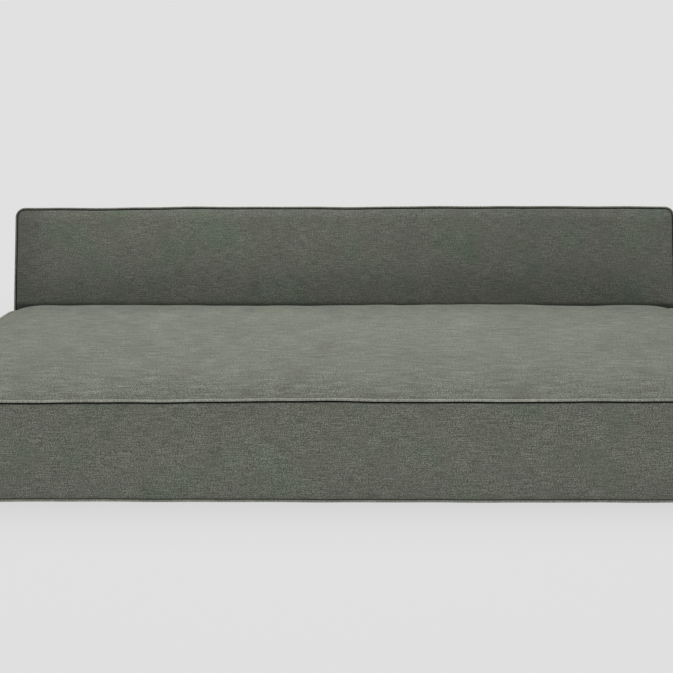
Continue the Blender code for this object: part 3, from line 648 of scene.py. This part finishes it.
def piping_tree():
    """Round piping along a seam line, with painted shade: a base shade over the whole tube, and more, up to near
    black, on the side that lies in the seam.
    """
    tree, add, given = new_tree("piping", {
        "Radius": "NodeSocketFloat", "Sides": "NodeSocketInt", "Shade": "NodeSocketFloat"})
    line = add("GeometryNodeMeshToCurve", {"Mesh": given["Geometry"]})
    ring = add("GeometryNodeCurvePrimitiveCircle", {"Resolution": given["Sides"], "Radius": given["Radius"]})
    tube = add("GeometryNodeCurveToMesh", {"Curve": line, "Profile Curve": ring, "Fill Caps": True})
    inward = add("GeometryNodeInputNamedAttribute", {"Name": "inward"}, data_type="FLOAT_VECTOR")
    normal = add("GeometryNodeInputNormal")
    facing = add("ShaderNodeVectorMath", [normal, inward], operation="DOT_PRODUCT")
    shade = add("ShaderNodeMapRange", {
        "Value": facing, "From Min": 0.25, "From Max": 0.8, "To Min": given["Shade"], "To Max": 0.9})
    stored = add("GeometryNodeStoreNamedAttribute", {"Geometry": tube, "Name": "crease", "Value": shade})
    return finish_tree(tree, add("GeometryNodeSetShadeSmooth", {"Geometry": stored}), piping_linen)


def fixing_tree(name, finish):
    """Copies of one small fixing on points, each turned by the point's own angles."""
    tree, add, given = new_tree(name, {"Fixing": "NodeSocketObject", "Size": "NodeSocketFloat"})
    fixing = add("GeometryNodeObjectInfo", {"Object": given["Fixing"]}).outputs["Geometry"]
    turn = add("GeometryNodeInputNamedAttribute", {"Name": "turn"}, data_type="FLOAT_VECTOR")
    points = add("GeometryNodeMeshToPoints", {"Mesh": given["Geometry"]})
    copies = add("GeometryNodeInstanceOnPoints", {
        "Points": points, "Instance": fixing, "Rotation": turn, "Scale": given["Size"]})
    return finish_tree(tree, copies, finish)


def path_mesh(points, edges, attribute, vectors):
    """Mesh of points and edges alone, each point with a vector of its own."""
    mesh = bpy.data.meshes.new("path")
    mesh.from_pydata(np.asarray(points).tolist(), edges, [])
    values = np.asarray(vectors, np.float32).ravel()
    mesh.attributes.new(attribute, "FLOAT_VECTOR", "POINT").data.foreach_set("vector", values)
    return mesh


def grown(name, mesh, tree, **values):
    """Plain mesh object of what a geometry tree grows on a mesh."""
    seed = link(name + "_seed", mesh)
    modifier = seed.modifiers.new("grow", "NODES")
    modifier.node_group = tree
    for item in tree.interface.items_tree:
        if item.in_out == "INPUT" and item.name in values:
            modifier[item.identifier] = values[item.name]
    result = evaluated_mesh(seed)
    result.name = name
    seed.modifiers.remove(modifier)
    bpy.data.objects.remove(seed)
    return link(name, result)


def sew_piping(name, points, inward, closed, shade, body, node):
    """Piping along a seam, each point of which has its direction into the cover."""
    count = len(points)
    edges = [(i, (i + 1) % count) for i in range(count if closed else count - 1)]
    seam = path_mesh(points, edges, "inward", inward / np.linalg.norm(inward, axis=1, keepdims=True))
    made = grown(name, seam, piping, Radius=PIPING_RADIUS, Sides=PIPING_SIDES, Shade=shade)
    finish_piece(made, body, "piping", node)


def drive_fixings(name, places, turns, tree, fixing, size, body):
    """Steel fixings at their places, each turned its own way."""
    made = grown(name, path_mesh(places, [], "turn", turns), tree, Fixing=fixing, Size=size)
    finish_piece(made, body, "steel")
    return made


def pan_head_screw():
    """Pan-head screw, 9 mm across, facing +Z, with a cross recess."""
    bm = bmesh.new()
    profile = ((4.5, -0.6), (4.5, 0.6), (4.2, 1.3), (3.4, 1.9), (2.2, 2.3), (0.0, 2.4))
    verts = [bm.verts.new((r / 1000, 0, z / 1000)) for r, z in profile]
    edges = [bm.edges.new(pair) for pair in zip(verts, verts[1:])]
    bmesh.ops.spin(bm, geom=verts + edges, cent=(0, 0, 0), axis=(0, 0, 1), angle=2 * pi, steps=24)
    bmesh.ops.remove_doubles(bm, verts=bm.verts, dist=NEAR)
    bmesh.ops.holes_fill(bm, edges=bm.edges)
    bmesh.ops.recalc_face_normals(bm, faces=bm.faces)
    head = link("pan_head_screw", mesh_of(bm, "pan_head_screw"))
    for turn in (0, pi / 2):
        bm = bmesh.new()
        bmesh.ops.create_cube(bm, size=1.0, matrix=(
            Matrix.Translation((0, 0, 0.0022)) @ Matrix.Rotation(turn, 4, "Z")
            @ Matrix.Diagonal((0.0046, 0.0009, 0.0022, 1))))
        blade = link("recess", mesh_of(bm, "recess"))
        cut = head.modifiers.new("recess", "BOOLEAN")
        cut.object = blade
        cut.operation = "DIFFERENCE"
        cut.solver = "EXACT"
        head.data = evaluated_mesh(head)
        head.modifiers.clear()
        bpy.data.objects.remove(blade)
    head.data = in_order(head.data)
    return head


def wire_staple():
    """Upholstery staple, 10 mm wide, of 1.2 mm flat wire, lying under the cloth."""
    bm = bmesh.new()
    crown_bar, leg = (0.0100, 0.0012, 0.0007, 1), (0.0007, 0.0012, 0.0020, 1)
    for x, z, size in ((0, -0.0004, crown_bar), (-0.0047, 0.0008, leg), (0.0047, 0.0008, leg)):
        bmesh.ops.create_cube(bm, size=1.0, matrix=Matrix.Translation((x, 0, z)) @ Matrix.Diagonal(size))
    bmesh.ops.bevel(bm, geom=bm.edges, offset=0.00015, segments=1, affect="EDGES")
    return link("wire_staple", mesh_of(bm, "wire_staple"))


piping = piping_tree()


# ---------------- seat cover

def seat_sway(x, y, z):
    """How far the seams of the seat stray from a straight line, up and forward."""
    high = ramp(z, 0.10, SEAT_EDGE_Z)
    front = 1 - ramp(y, SEAT_FRONT + 0.02, SEAT_FRONT + 0.22)
    top = stray(x, *TOP_STRAY) * front + stray(x, *CROWN_STRAY) * (1 - front) + waves(x + 0.6 * y, *TOP_WAVES)
    hem = stray(x, *HEM_STRAY) * front + waves(x - 0.4 * y, *HEM_WAVES)
    lift = top * high + hem * (1 - high) * ramp(z, SEAT_UNDER_Z, SEAT_UNDER_Z + 0.001)
    return lift, waves(x, *FRONT_WAVES) * ramp(z, 0.05, 0.12)


def seat_shape(flat, seams=1.0, fill=1.0):
    """The seat cover's points from its flat box: crowned top, padded borders and drawn-in seams."""
    x, y, z = flat.T.copy()
    edge_x = HALF_WIDTH - np.abs(x)
    edge_y = np.minimum(y - SEAT_FRONT, SEAT_REAR - y)
    edge = np.minimum(edge_x, edge_y)
    on_top = z > SEAT_EDGE_Z - NEAR
    under = z < SEAT_UNDER_Z + NEAR
    below = SEAT_EDGE_Z - z

    wall = seams * (drawn_in(below, DEEP_SEAM) + drawn_in(z - SEAT_HEM_Z, HEM_SEAM))
    wall = wall - SEAT_BULGE * bulge(below / (SEAT_EDGE_Z - SEAT_HEM_Z))
    inset = np.where(on_top, seams * drawn_in(edge, TOP_SEAM), np.where(under, drawn_in(edge, UNDER_FOLD), wall))
    beside_x = np.clip(1 - (edge_x - edge) / CORNER_FADE, 0, 1)
    beside_y = np.clip(1 - (edge_y - edge) / CORNER_FADE, 0, 1)
    fullness = SEAT_ROLL_FULLNESS + (1 - SEAT_ROLL_FULLNESS) * ramp(edge_y - edge_x, -0.08, 0.08)
    rise = crown(edge_x - SEAT_CROWN_START, edge_y - SEAT_CROWN_START, SEAT_ROLL, SEAT_END_RUN, SEAT_ROLL_RUN,
                 fullness, SEAT_DOME, SEAT_DOME_RUN) * fill
    z = np.where(on_top, z + rise + SEAM_LIP * seams * ramp(edge, SEAM_LIP_RUN, 0.0), z)

    new_x = x - np.sign(x) * inset * beside_x
    new_y = y - np.sign(y - SEAT_MIDDLE) * inset * beside_y
    for sign_x in (-1, 1):
        for sign_y, edge_line in ((-1, SEAT_FRONT), (1, SEAT_REAR)):
            new_x, new_y = round_corner(new_x, new_y, sign_x * HALF_WIDTH, edge_line, sign_x, sign_y, SEAT_CORNER)
    lift, push = seat_sway(x, y, z)
    forward = np.clip(1 - (y - SEAT_FRONT) / SEAT_FRONT_RUN, 0, 1)
    return np.stack([new_x, new_y - push * forward, z + lift], 1)


def seat_painted_shade(flat):
    """Shade in the seat's seams, deepest under the top piping, and along the rear of its top."""
    x, y, z = flat.T
    edge = np.minimum(HALF_WIDTH - np.abs(x), np.minimum(y - SEAT_FRONT, SEAT_REAR - y))
    under_piping = 1 - ramp(SEAT_EDGE_Z - z, 0.0074, 0.0098)
    over_hem = 0.97 * (1 - ramp(z - SEAT_HEM_Z, 0.0038, 0.0052))
    beside_piping = 0.05 * (1 - ramp(edge, 0.0045, 0.0075))
    along_rear = 0.12 * ramp(y, SEAT_REAR - 0.28, SEAT_REAR - 0.15)
    wall = np.where(edge > NEAR, 0, np.maximum(under_piping, over_hem))
    return np.where(z > SEAT_EDGE_Z - NEAR, beside_piping + along_rear, wall)


notches = both_sides(NOTCH_X)
seat_lines = (
    grid_lines(-HALF_WIDTH, HALF_WIDTH, GRID_STEP, stops=sum(notches, [])),
    grid_lines(SEAT_FRONT, SEAT_REAR, GRID_STEP),
    grid_lines(SEAT_UNDER_Z, SEAT_EDGE_Z, WIDE_GRID_STEP, HEM_LINES, BORDER_LINES, NOTCH_Z),
)
seat_flat, seat_panels = panel_box(*seat_lines)
seat_points = seat_shape(seat_flat, fill=SEAT_START)
seat_points = seat_points + swell(
    "seat_settling", lambda flat: seat_shape(flat, 0.0, SEAT_START), SEAT_ROUGH, seat_lines, seat_panels,
    lambda flat: flat[:, 2] < SEAT_UNDER_Z + NEAR, SEAT_SWELL_CAP, BORDER_SWELL)
seat_dye = np.where(seat_flat[:, 2] > SEAT_EDGE_Z - NEAR, SEAT_TOP_DYE, BORDER_DYE)
seat_mesh = cover_mesh("seat_cover", seat_points, seat_flat, seat_panels, seat_painted_shade(seat_flat), seat_dye)

# Recesses in the rear border, down to the rail, where the hinge plates are fixed
recess_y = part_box("rear_rail")[1].y - 0.0005
bm = reopened(seat_mesh)
for faces in [window_faces(bm, seat_flat, seat_panels["rear"], span, NOTCH_Z) for span in notches]:
    sunk = bmesh.ops.extrude_face_region(bm, geom=faces)["geom"]
    bmesh.ops.delete(bm, geom=faces, context="FACES")
    for vert in (part for part in sunk if isinstance(part, bmesh.types.BMVert)):
        vert.co.y = recess_y
# An extrusion leaves its new faces in no fixed order, so all are put in one
bm.verts.index_update()
bm.faces.sort(key=lambda face: face.verts[0].index * len(bm.verts) + face.verts[2].index)
close_outward(bm, seat_mesh)
seat_cover = link("seat_cover", seat_mesh)
seat_mesh.materials.append(cover_linen)
finish_piece(seat_cover, "seat_base", "linen",
             "seat_mattress", "front_border", "rear_border", "left_border", "right_border")


def seat_piping(name, panel, z, node, inset, into):
    """Piping round the seat at one height, with its seam above or below it."""
    ids = seat_panels[panel][0]
    flat = seat_flat[np.concatenate([ids[:-1, 0], ids[-1, :-1], ids[:0:-1, -1], ids[0, :0:-1]])]
    flat[:, 2] = z
    x, y = flat[:, 0], flat[:, 1] - SEAT_MIDDLE
    on_x = np.abs(np.abs(x) - HALF_WIDTH) < NEAR
    on_y = np.abs(np.abs(y) - (SEAT_REAR - SEAT_FRONT) / 2) < NEAR
    inward = np.stack([-np.sign(x) * on_x, -np.sign(y) * on_y, np.zeros(len(flat))], 1)
    points = seat_shape(flat, 0.0) + inward * inset
    inward[:, 2] = into
    sew_piping(name, points, inward, True, 0.0, "seat_base", node)


# The top piping lies a hair below the edge, where it follows the borders and not the crown
seat_piping("seat_top_piping", "top", SEAT_EDGE_Z - 1e-5, "seat_top_welt", 0.0, -1.0)
seat_piping("seat_bottom_piping", "under", SEAT_HEM_Z, "seat_bottom_welt", 0.002, 1.0)


# ---------------- back cover, measured from the fold axis along the rake

def raked(points):
    """Points measured along the raked back, in the sofa's own frame."""
    x, y, z = points.T
    return np.stack([x, FOLD.y + y * cos(RAKE) + z * sin(RAKE), FOLD.z - y * sin(RAKE) + z * cos(RAKE)], 1)


def back_sway(x, z):
    """How far the back's top strays from level: its left end sits a little low."""
    return (stray(x, *BACK_STRAY) + waves(x, *BACK_TOP_WAVES)) * ramp(z, 0.20, BACK_TOP)


def back_shape(flat, seams=1.0, fill=1.0):
    """The back cover's points from its flat box: crowned front, rolled lower edge and drawn-in seams."""
    x, y, z = flat.T.copy()
    edge_x = HALF_WIDTH - np.abs(x)
    edge_z = BACK_TOP - z
    rim_edge = np.minimum(edge_x, edge_z)
    from_front = y - BACK_FRONT
    from_rear = BACK_REAR - y
    on_front = from_front < NEAR
    on_rear = from_rear < NEAR

    over_foot = np.minimum(edge_z, z - BACK_LOW - BACK_CROWN_FOOT)
    face = crown(edge_x - BACK_CROWN_START, over_foot - BACK_CROWN_START, BACK_ROLL, BACK_ROLL_RUN, BACK_ROLL_RUN,
                 BACK_ROLL_FULLNESS, BACK_DOME, BACK_DOME_RUN)
    new_y = np.where(on_front, y - face * fill + seams * drawn_in(rim_edge, DEEP_SEAM), y)
    # The rear panel sinks a little, but not beside the leg brackets
    shallow = seams * drawn_in(rim_edge, SHALLOW_SEAM)
    sag = REAR_SAG * np.clip(rim_edge / 0.1, 0, 1) * (0.6 + waves(x + z, *REAR_SAG_WAVES))
    new_y = np.where(on_rear, new_y - shallow - sag * ramp(np.abs(np.abs(x) - 1.0), 0.04, 0.12), new_y)

    wall = seams * (drawn_in(from_front, SHALLOW_SEAM) + drawn_in(from_rear, SHALLOW_SEAM))
    wall = wall - BACK_BULGE * bulge(from_front / (BACK_REAR - BACK_FRONT))
    inset = np.where(on_front | on_rear, shallow, wall)
    beside_x = np.clip(1 - (edge_x - rim_edge) / CORNER_FADE, 0, 1) * (edge_x < BACK_SIDE_STRIP)
    beside_z = np.clip(1 - (edge_z - rim_edge) / CORNER_FADE, 0, 1) * (edge_z < BACK_SIDE_STRIP)
    new_x = x - np.sign(x) * inset * beside_x
    new_z = z - inset * beside_z
    for sign in (-1, 1):
        new_x, new_z = round_corner(new_x, new_z, sign * HALF_WIDTH, BACK_TOP, sign, 1, BACK_CORNER)
    new_y, new_z = round_corner(new_y, new_z, BACK_FRONT, BACK_LOW, -1, -1, LOWER_FRONT_RADIUS)
    new_y, new_z = round_corner(new_y, new_z, BACK_REAR, BACK_LOW, 1, -1, LOWER_REAR_RADIUS)
    return np.stack([new_x * (1 - BACK_TAPER * ramp(z, 0.05, 0.42)), new_y, new_z + back_sway(x, z)], 1)


def back_painted_shade(flat):
    """Shade in the back's seams and behind the seat, and over its front towards the right and at the left end."""
    x, y, z = flat.T
    rim_edge = np.minimum(HALF_WIDTH - np.abs(x), BACK_TOP - z)
    seam = 0.95 * (1 - ramp(rim_edge, 0.0050, 0.0078))
    behind_seat = 0.75 * (1 - ramp(z, 0.090, 0.106))
    # Painted shade over the whole front of the back, heavier towards the right but easing off at its right end, at the
    # left end and just below the top, standing in for how light falls on it
    to_right = 0.12 * ramp(x, -0.45, 0.85) - 0.05 * ramp(x, 0.95, 1.15)
    left_end = 0.20 * (1 - ramp(x + HALF_WIDTH, 0.03, 0.18))
    below_top = 0.18 * (1 - ramp(BACK_TOP - z, 0.010, 0.026))
    front = np.maximum(np.maximum(seam, behind_seat), to_right + 0.11 + left_end + below_top)
    rear = 0.7 * (1 - ramp(rim_edge, 0.003, 0.008))
    wall = 0.7 * (1 - ramp(np.minimum(y - BACK_FRONT, BACK_REAR - y), 0.003, 0.008)) * (rim_edge < NEAR)
    return np.where(y < BACK_FRONT + NEAR, front, np.where(y > BACK_REAR - NEAR, rear, wall))


slots = both_sides(SLOT_X)
back_xs = grid_lines(-HALF_WIDTH, HALF_WIDTH, WIDE_GRID_STEP, stops=sum(slots, []))
for low, high in slots:
    back_xs = back_xs[(back_xs < low + NEAR) | (back_xs > high - NEAR)]
back_lines = (
    back_xs,
    grid_lines(BACK_FRONT, BACK_REAR, WIDE_GRID_STEP, BORDER_LINES, BORDER_LINES),
    grid_lines(BACK_LOW, BACK_TOP, GRID_STEP, FOOT_LINES, SEAM_LINES, [SLOT_TOP]),
)
back_flat, back_panels = panel_box(*back_lines)
back_points = raked(back_shape(back_flat, fill=BACK_START))
back_points = back_points + swell(
    "back_settling", lambda flat: raked(back_shape(flat, 0.0, BACK_START)), BACK_ROUGH, back_lines, back_panels,
    lambda flat: (flat[:, 1] > BACK_REAR - NEAR) | (flat[:, 2] < BACK_HELD_FOOT), BACK_SWELL_CAP)
back_dye = np.full(len(back_flat), BACK_DYE)
back_mesh = cover_mesh("back_cover", back_points, back_flat, back_panels, back_painted_shade(back_flat), back_dye)

# Slots through the back's foot for the hinge arms, each lined with cloth
bm = reopened(back_mesh)
opened = []
for span in slots:
    for panel in ("front", "rear"):
        opened += window_faces(bm, back_flat, back_panels[panel], span, (BACK_LOW, SLOT_TOP))
    opened += window_faces(bm, back_flat, back_panels["under"], span, (BACK_FRONT, BACK_REAR))
bmesh.ops.delete(bm, geom=opened, context="FACES")
bm.verts.ensure_lookup_table()
slot_row = int(np.argmin(np.abs(back_lines[2] - SLOT_TOP)))
walls = []
for side in (-1, 1):
    ends = []
    for x in SLOT_X:
        column = int(np.argmin(np.abs(back_lines[0] - side * x)))
        outline = np.concatenate([
            back_panels["front"][0][column, :slot_row + 1][::-1],
            back_panels["under"][0][column, 1:-1],
            back_panels["rear"][0][column, :slot_row + 1],
        ])
        walls.append(bm.faces.new([bm.verts[n] for n in outline]))
        ends.append((bm.verts[outline[0]], bm.verts[outline[-1]]))
    walls.append(bm.faces.new([ends[0][0], ends[1][0], ends[1][1], ends[0][1]]))
weave_layer = bm.loops.layers.uv["weave"]
for wall in walls:
    for loop in wall.loops:
        loop[weave_layer].uv = back_flat[loop.vert.index][[1, 2]]
close_outward(bm, back_mesh)
back_cover = link("back_cover", back_mesh)
back_mesh.materials.append(cover_linen)
finish_piece(back_cover, "back", "linen", "back_pad", "back_left_roll", "back_middle_roll", "back_right_roll",
             "back_border", "back_rear_panel")


def back_piping(name, panel, into, node):
    """Piping up one side of the back, over its top and down the other side."""
    ids = back_panels[panel][0]
    flat = back_flat[np.concatenate([ids[0, :-1], ids[:-1, -1], ids[-1, ::-1]])]
    on_x = np.abs(np.abs(flat[:, 0]) - HALF_WIDTH) < NEAR
    on_z = np.abs(flat[:, 2] - BACK_TOP) < NEAR
    inward = np.stack([-np.sign(flat[:, 0]) * on_x, np.full(len(flat), into), -1.0 * on_z], 1)
    inward = raked(inward) - raked(np.zeros((1, 3)))
    # The back's piping gets a base painted shade of 0.45 all round, so that it reads darker than the seat's
    sew_piping(name, raked(back_shape(flat, 0.0, 0.0)), inward, False, 0.45, "back", node)


back_piping("back_front_piping", "front", 1.0, "back_front_welt")
back_piping("back_rear_piping", "rear", -1.0, "back_rear_welt")


# ---------------- dust cover and fixings

low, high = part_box("dust_cover")
COVER_X = high.x
COVER_Y = (low.y, high.y)
COVER_TOP = high.z
COVER_THICK = 0.0008
COVER_SAG = 0.0032
COVER_PUCKER = 0.0004
PUCKER_LENGTH = 0.061
RAIL_HALF = 0.014
RAILS_ACROSS = ("left_end_rail", "left_cross_rail", "middle_cross_rail", "right_cross_rail", "right_end_rail")

# The cloth lies on the rails and corner blocks and sags between them
gx, gy = np.meshgrid(np.linspace(-COVER_X, COVER_X, 193), np.linspace(*COVER_Y, 75), indexing="ij")
across = np.min([np.abs(gx - (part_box(rail)[0].x + RAIL_HALF)) for rail in RAILS_ACROSS], axis=0)
along = np.minimum(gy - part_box("front_rail")[1].y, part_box("rear_rail")[0].y - gy)
free = ramp(across, 0.016, 0.20) * ramp(along, 0.004, 0.22)
in_corner = ramp(np.abs(gx), 1.03, 1.06) * np.maximum(ramp(-gy, 0.42, 0.46), ramp(gy, 0.14, 0.18))
pucker = COVER_PUCKER * np.sin(2 * pi * (gx + gy) / PUCKER_LENGTH)
pucker = pucker * ramp(np.minimum(along, COVER_X - np.abs(gx)), 0.0, 0.01)
gz = COVER_TOP - free * (1 - in_corner) * (COVER_SAG + pucker)
sheet_mesh = bpy.data.meshes.new("dust_cover_cloth")
sheet_quads = quads_of(np.arange(gx.size).reshape(gx.shape))[:, ::-1]
sheet_mesh.from_pydata(np.stack([gx, gy, gz], -1).reshape(-1, 3).tolist(), [], sheet_quads.tolist())
sheet_mesh.polygons.foreach_set("use_smooth", [True] * len(sheet_mesh.polygons))
sheet_mesh.materials.append(lining)
dust_cloth = link("dust_cover_cloth", sheet_mesh)
thick = dust_cloth.modifiers.new("thickness", "SOLIDIFY")
thick.thickness = COVER_THICK
thick.offset = 1.0
solid_mesh = evaluated_mesh(dust_cloth)
dust_cloth.modifiers.clear()
dust_cloth.data = solid_mesh
finish_piece(dust_cloth, "seat_base", "lining", "dust_cover")

STAPLE_PITCH = 0.055
STAPLE_INSET = 0.006
STAPLE_SLANT = 0.10
run_x = COVER_X - STAPLE_INSET
run_y = (COVER_Y[0] + STAPLE_INSET, COVER_Y[1] - STAPLE_INSET)
under_z = COVER_TOP - COVER_THICK
places, turns = [], []
for x in np.linspace(-run_x + 0.02, run_x - 0.02, round(2 * run_x / STAPLE_PITCH)):
    for y in run_y:
        places.append((x, y, under_z))
        turns.append((0, 0, STAPLE_SLANT * sin(91 * x + 13 * y)))
for y in np.linspace(run_y[0] + 0.03, run_y[1] - 0.03, round((run_y[1] - run_y[0]) / STAPLE_PITCH)):
    for x in (-run_x, run_x):
        places.append((x, y, under_z))
        turns.append((0, 0, pi / 2 + STAPLE_SLANT * sin(83 * y + 7 * x)))
staple = wire_staple()
staple_tree = fixing_tree("staple_row", steel)
staples = drive_fixings("dust_cover_staples", places, turns, staple_tree, staple, 1.0, "seat_base")

SCREW_PROUD = 0.0004
SCREW_INSET = 0.014
FLANGE_THICK = 0.005
FLANGE_HEIGHT = 0.066
screw = pan_head_screw()
screw_tree = fixing_tree("screw_set", steel)
places, turns = [], []
for name in ("left_hinge_plate", "right_hinge_plate"):
    low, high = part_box(name)
    for x in (low.x + SCREW_INSET, high.x - SCREW_INSET):
        for z in (low.z + SCREW_INSET, low.z + FLANGE_HEIGHT - SCREW_INSET):
            places.append((x, low.y + FLANGE_THICK + SCREW_PROUD, z))
            turns.append((-pi / 2, 0.9 * sin(31 * x + 57 * z), 0))
drive_fixings("hinge_flange_screws", places, turns, screw_tree, screw, 1.0, "seat_base")

BRACKET_GAP = 0.0003
BRACKET_THICK = 0.003
BRACKET_SCREW_Z = (0.277, 0.303)
BRACKET_SCREW_SIZE = 0.72
places, turns = [], []
for name in ("left_rear_leg", "right_rear_leg"):
    x = middle(name, 0)
    for z in BRACKET_SCREW_Z:
        places.append(raked(np.array([[x, BACK_REAR + BRACKET_GAP + BRACKET_THICK + SCREW_PROUD, z]]))[0])
        turns.append((-pi / 2 - RAKE, 0.7 * sin(19 * x + 40 * z), 0))
drive_fixings("leg_bracket_screws", places, turns, screw_tree, screw, BRACKET_SCREW_SIZE, "back")
for master in (staple, screw):
    bpy.data.objects.remove(master)


# ---------------- finishes of the frame's own pieces

GRAIN_ALONG = {"rear_leg": 2, "stile": 2, "end_rail": 1, "cross_rail": 1}
finish_of = {"plywood": plywood, "steel": steel, "plastic": glide_plastic, "rubber": cap_rubber, "lining": lining,
             "linen": cover_linen, "piping": piping_linen}
for row in frame["record"]["subparts"]:
    along = next((axis for word, axis in GRAIN_ALONG.items() if word in row["node"]), 0)
    finishes = frame["nodes"][row["node"]].data.materials
    finishes.clear()
    finishes.append(finish_of.get(row["material_slot"], pine_boards[along]))


# ---------------- floor, light and camera

BACKGROUND = "#e1e1e1"
FLOOR_SIZE = 14.0
AMBIENT = 0.38


def seen_directly(add):
    """1 where the camera, a reflection or glass sees the surface, 0 where it only gives light."""
    path = add("ShaderNodeLightPath").outputs
    direct = add("ShaderNodeMath", [path["Is Camera Ray"], path["Is Glossy Ray"]], operation="MAXIMUM")
    return add("ShaderNodeMath", [direct, path["Is Transmission Ray"]], operation="MAXIMUM")


def pale_floor():
    """Matt studio floor, the colour of the backdrop; it keeps the sofa's shadow, faint in front, and fades away."""
    made, add, place = new_material("pale_floor")
    squashed = add("ShaderNodeMapping", {"Vector": place, "Scale": (0.8, 1.0, 0.0)})
    reach = add("ShaderNodeVectorMath", [squashed], operation="LENGTH")
    depth = add("ShaderNodeSeparateXYZ", [place]).outputs["Y"]
    shadow = add("ShaderNodeMapRange", {
        "Value": depth, "From Min": -0.75, "From Max": 0.1, "To Min": 0.065, "To Max": 0.35})
    near = add("ShaderNodeMapRange", {
        "Value": reach, "From Min": 1.2, "From Max": 2.6, "To Min": shadow, "To Max": 0.0},
        interpolation_type="SMOOTHSTEP")
    matt = add("ShaderNodeBsdfDiffuse", {"Color": tone("#e2e2e0")})
    plain = add("ShaderNodeEmission", {"Color": tone(BACKGROUND), "Strength": 1.0})
    seen = add("ShaderNodeMixShader", [near, plain, matt])
    floor = add("ShaderNodeMixShader", [seen_directly(add), matt, seen])
    add("ShaderNodeOutputMaterial", {"Surface": floor})
    return made


bm = bmesh.new()
bmesh.ops.create_grid(bm, x_segments=8, y_segments=8, size=FLOOR_SIZE)
floor_mesh = mesh_of(bm, "studio_floor")
floor_mesh.materials.append(pale_floor())
link("studio_floor", floor_mesh)

world = bpy.data.worlds.new("studio")
bpy.context.scene.world = world
world.use_nodes = True
world.node_tree.nodes.clear()
add = partial(add_node, world.node_tree)
soft = add("ShaderNodeBackground", {"Color": (1, 1, 1, 1), "Strength": AMBIENT})
backdrop = add("ShaderNodeBackground", {"Color": tone(BACKGROUND), "Strength": 1.0})
mixed = add("ShaderNodeMixShader", [seen_directly(add), soft, backdrop])
add("ShaderNodeOutputWorld", {"Surface": mixed})


def soft_box(name, place, aim, width, depth, power):
    """Large soft light that points at a place."""
    lamp = bpy.data.lights.new(name, "AREA")
    lamp.shape = "RECTANGLE"
    lamp.size = width
    lamp.size_y = depth
    lamp.energy = power
    made = link(name, lamp)
    made.location = place
    made.rotation_euler = (Vector(aim) - Vector(place)).to_track_quat("-Z", "Y").to_euler()
    made.visible_camera = False


soft_box("overhead_soft_box", (-0.1, 0.2, 2.5), (-0.1, 0.05, 0.3), 3.8, 1.4, 67)
soft_box("low_front_card", (0.1, -2.75, 0.11), (0.1, -0.6, 0.11), 4.0, 0.20, 16)

CAMERA_HEIGHT = 1.053
CAMERA_DISTANCE = 2.073  # in front of the seat
CAMERA_DIP = 8.72  # degrees below level
camera_data = bpy.data.cameras.new("photo_view")
camera_data.sensor_width = 36.0
camera_data.lens = 45.442
camera_data.shift_x = -0.0127
camera_data.shift_y = -0.15645
camera = link("photo_view", camera_data)
camera.location = (0.0, SEAT_FRONT - CAMERA_DISTANCE, CAMERA_HEIGHT)
camera.rotation_euler = (radians(90 - CAMERA_DIP), 0, 0)
bpy.context.scene.camera = camera
bpy.context.scene.view_settings.view_transform = "Standard"
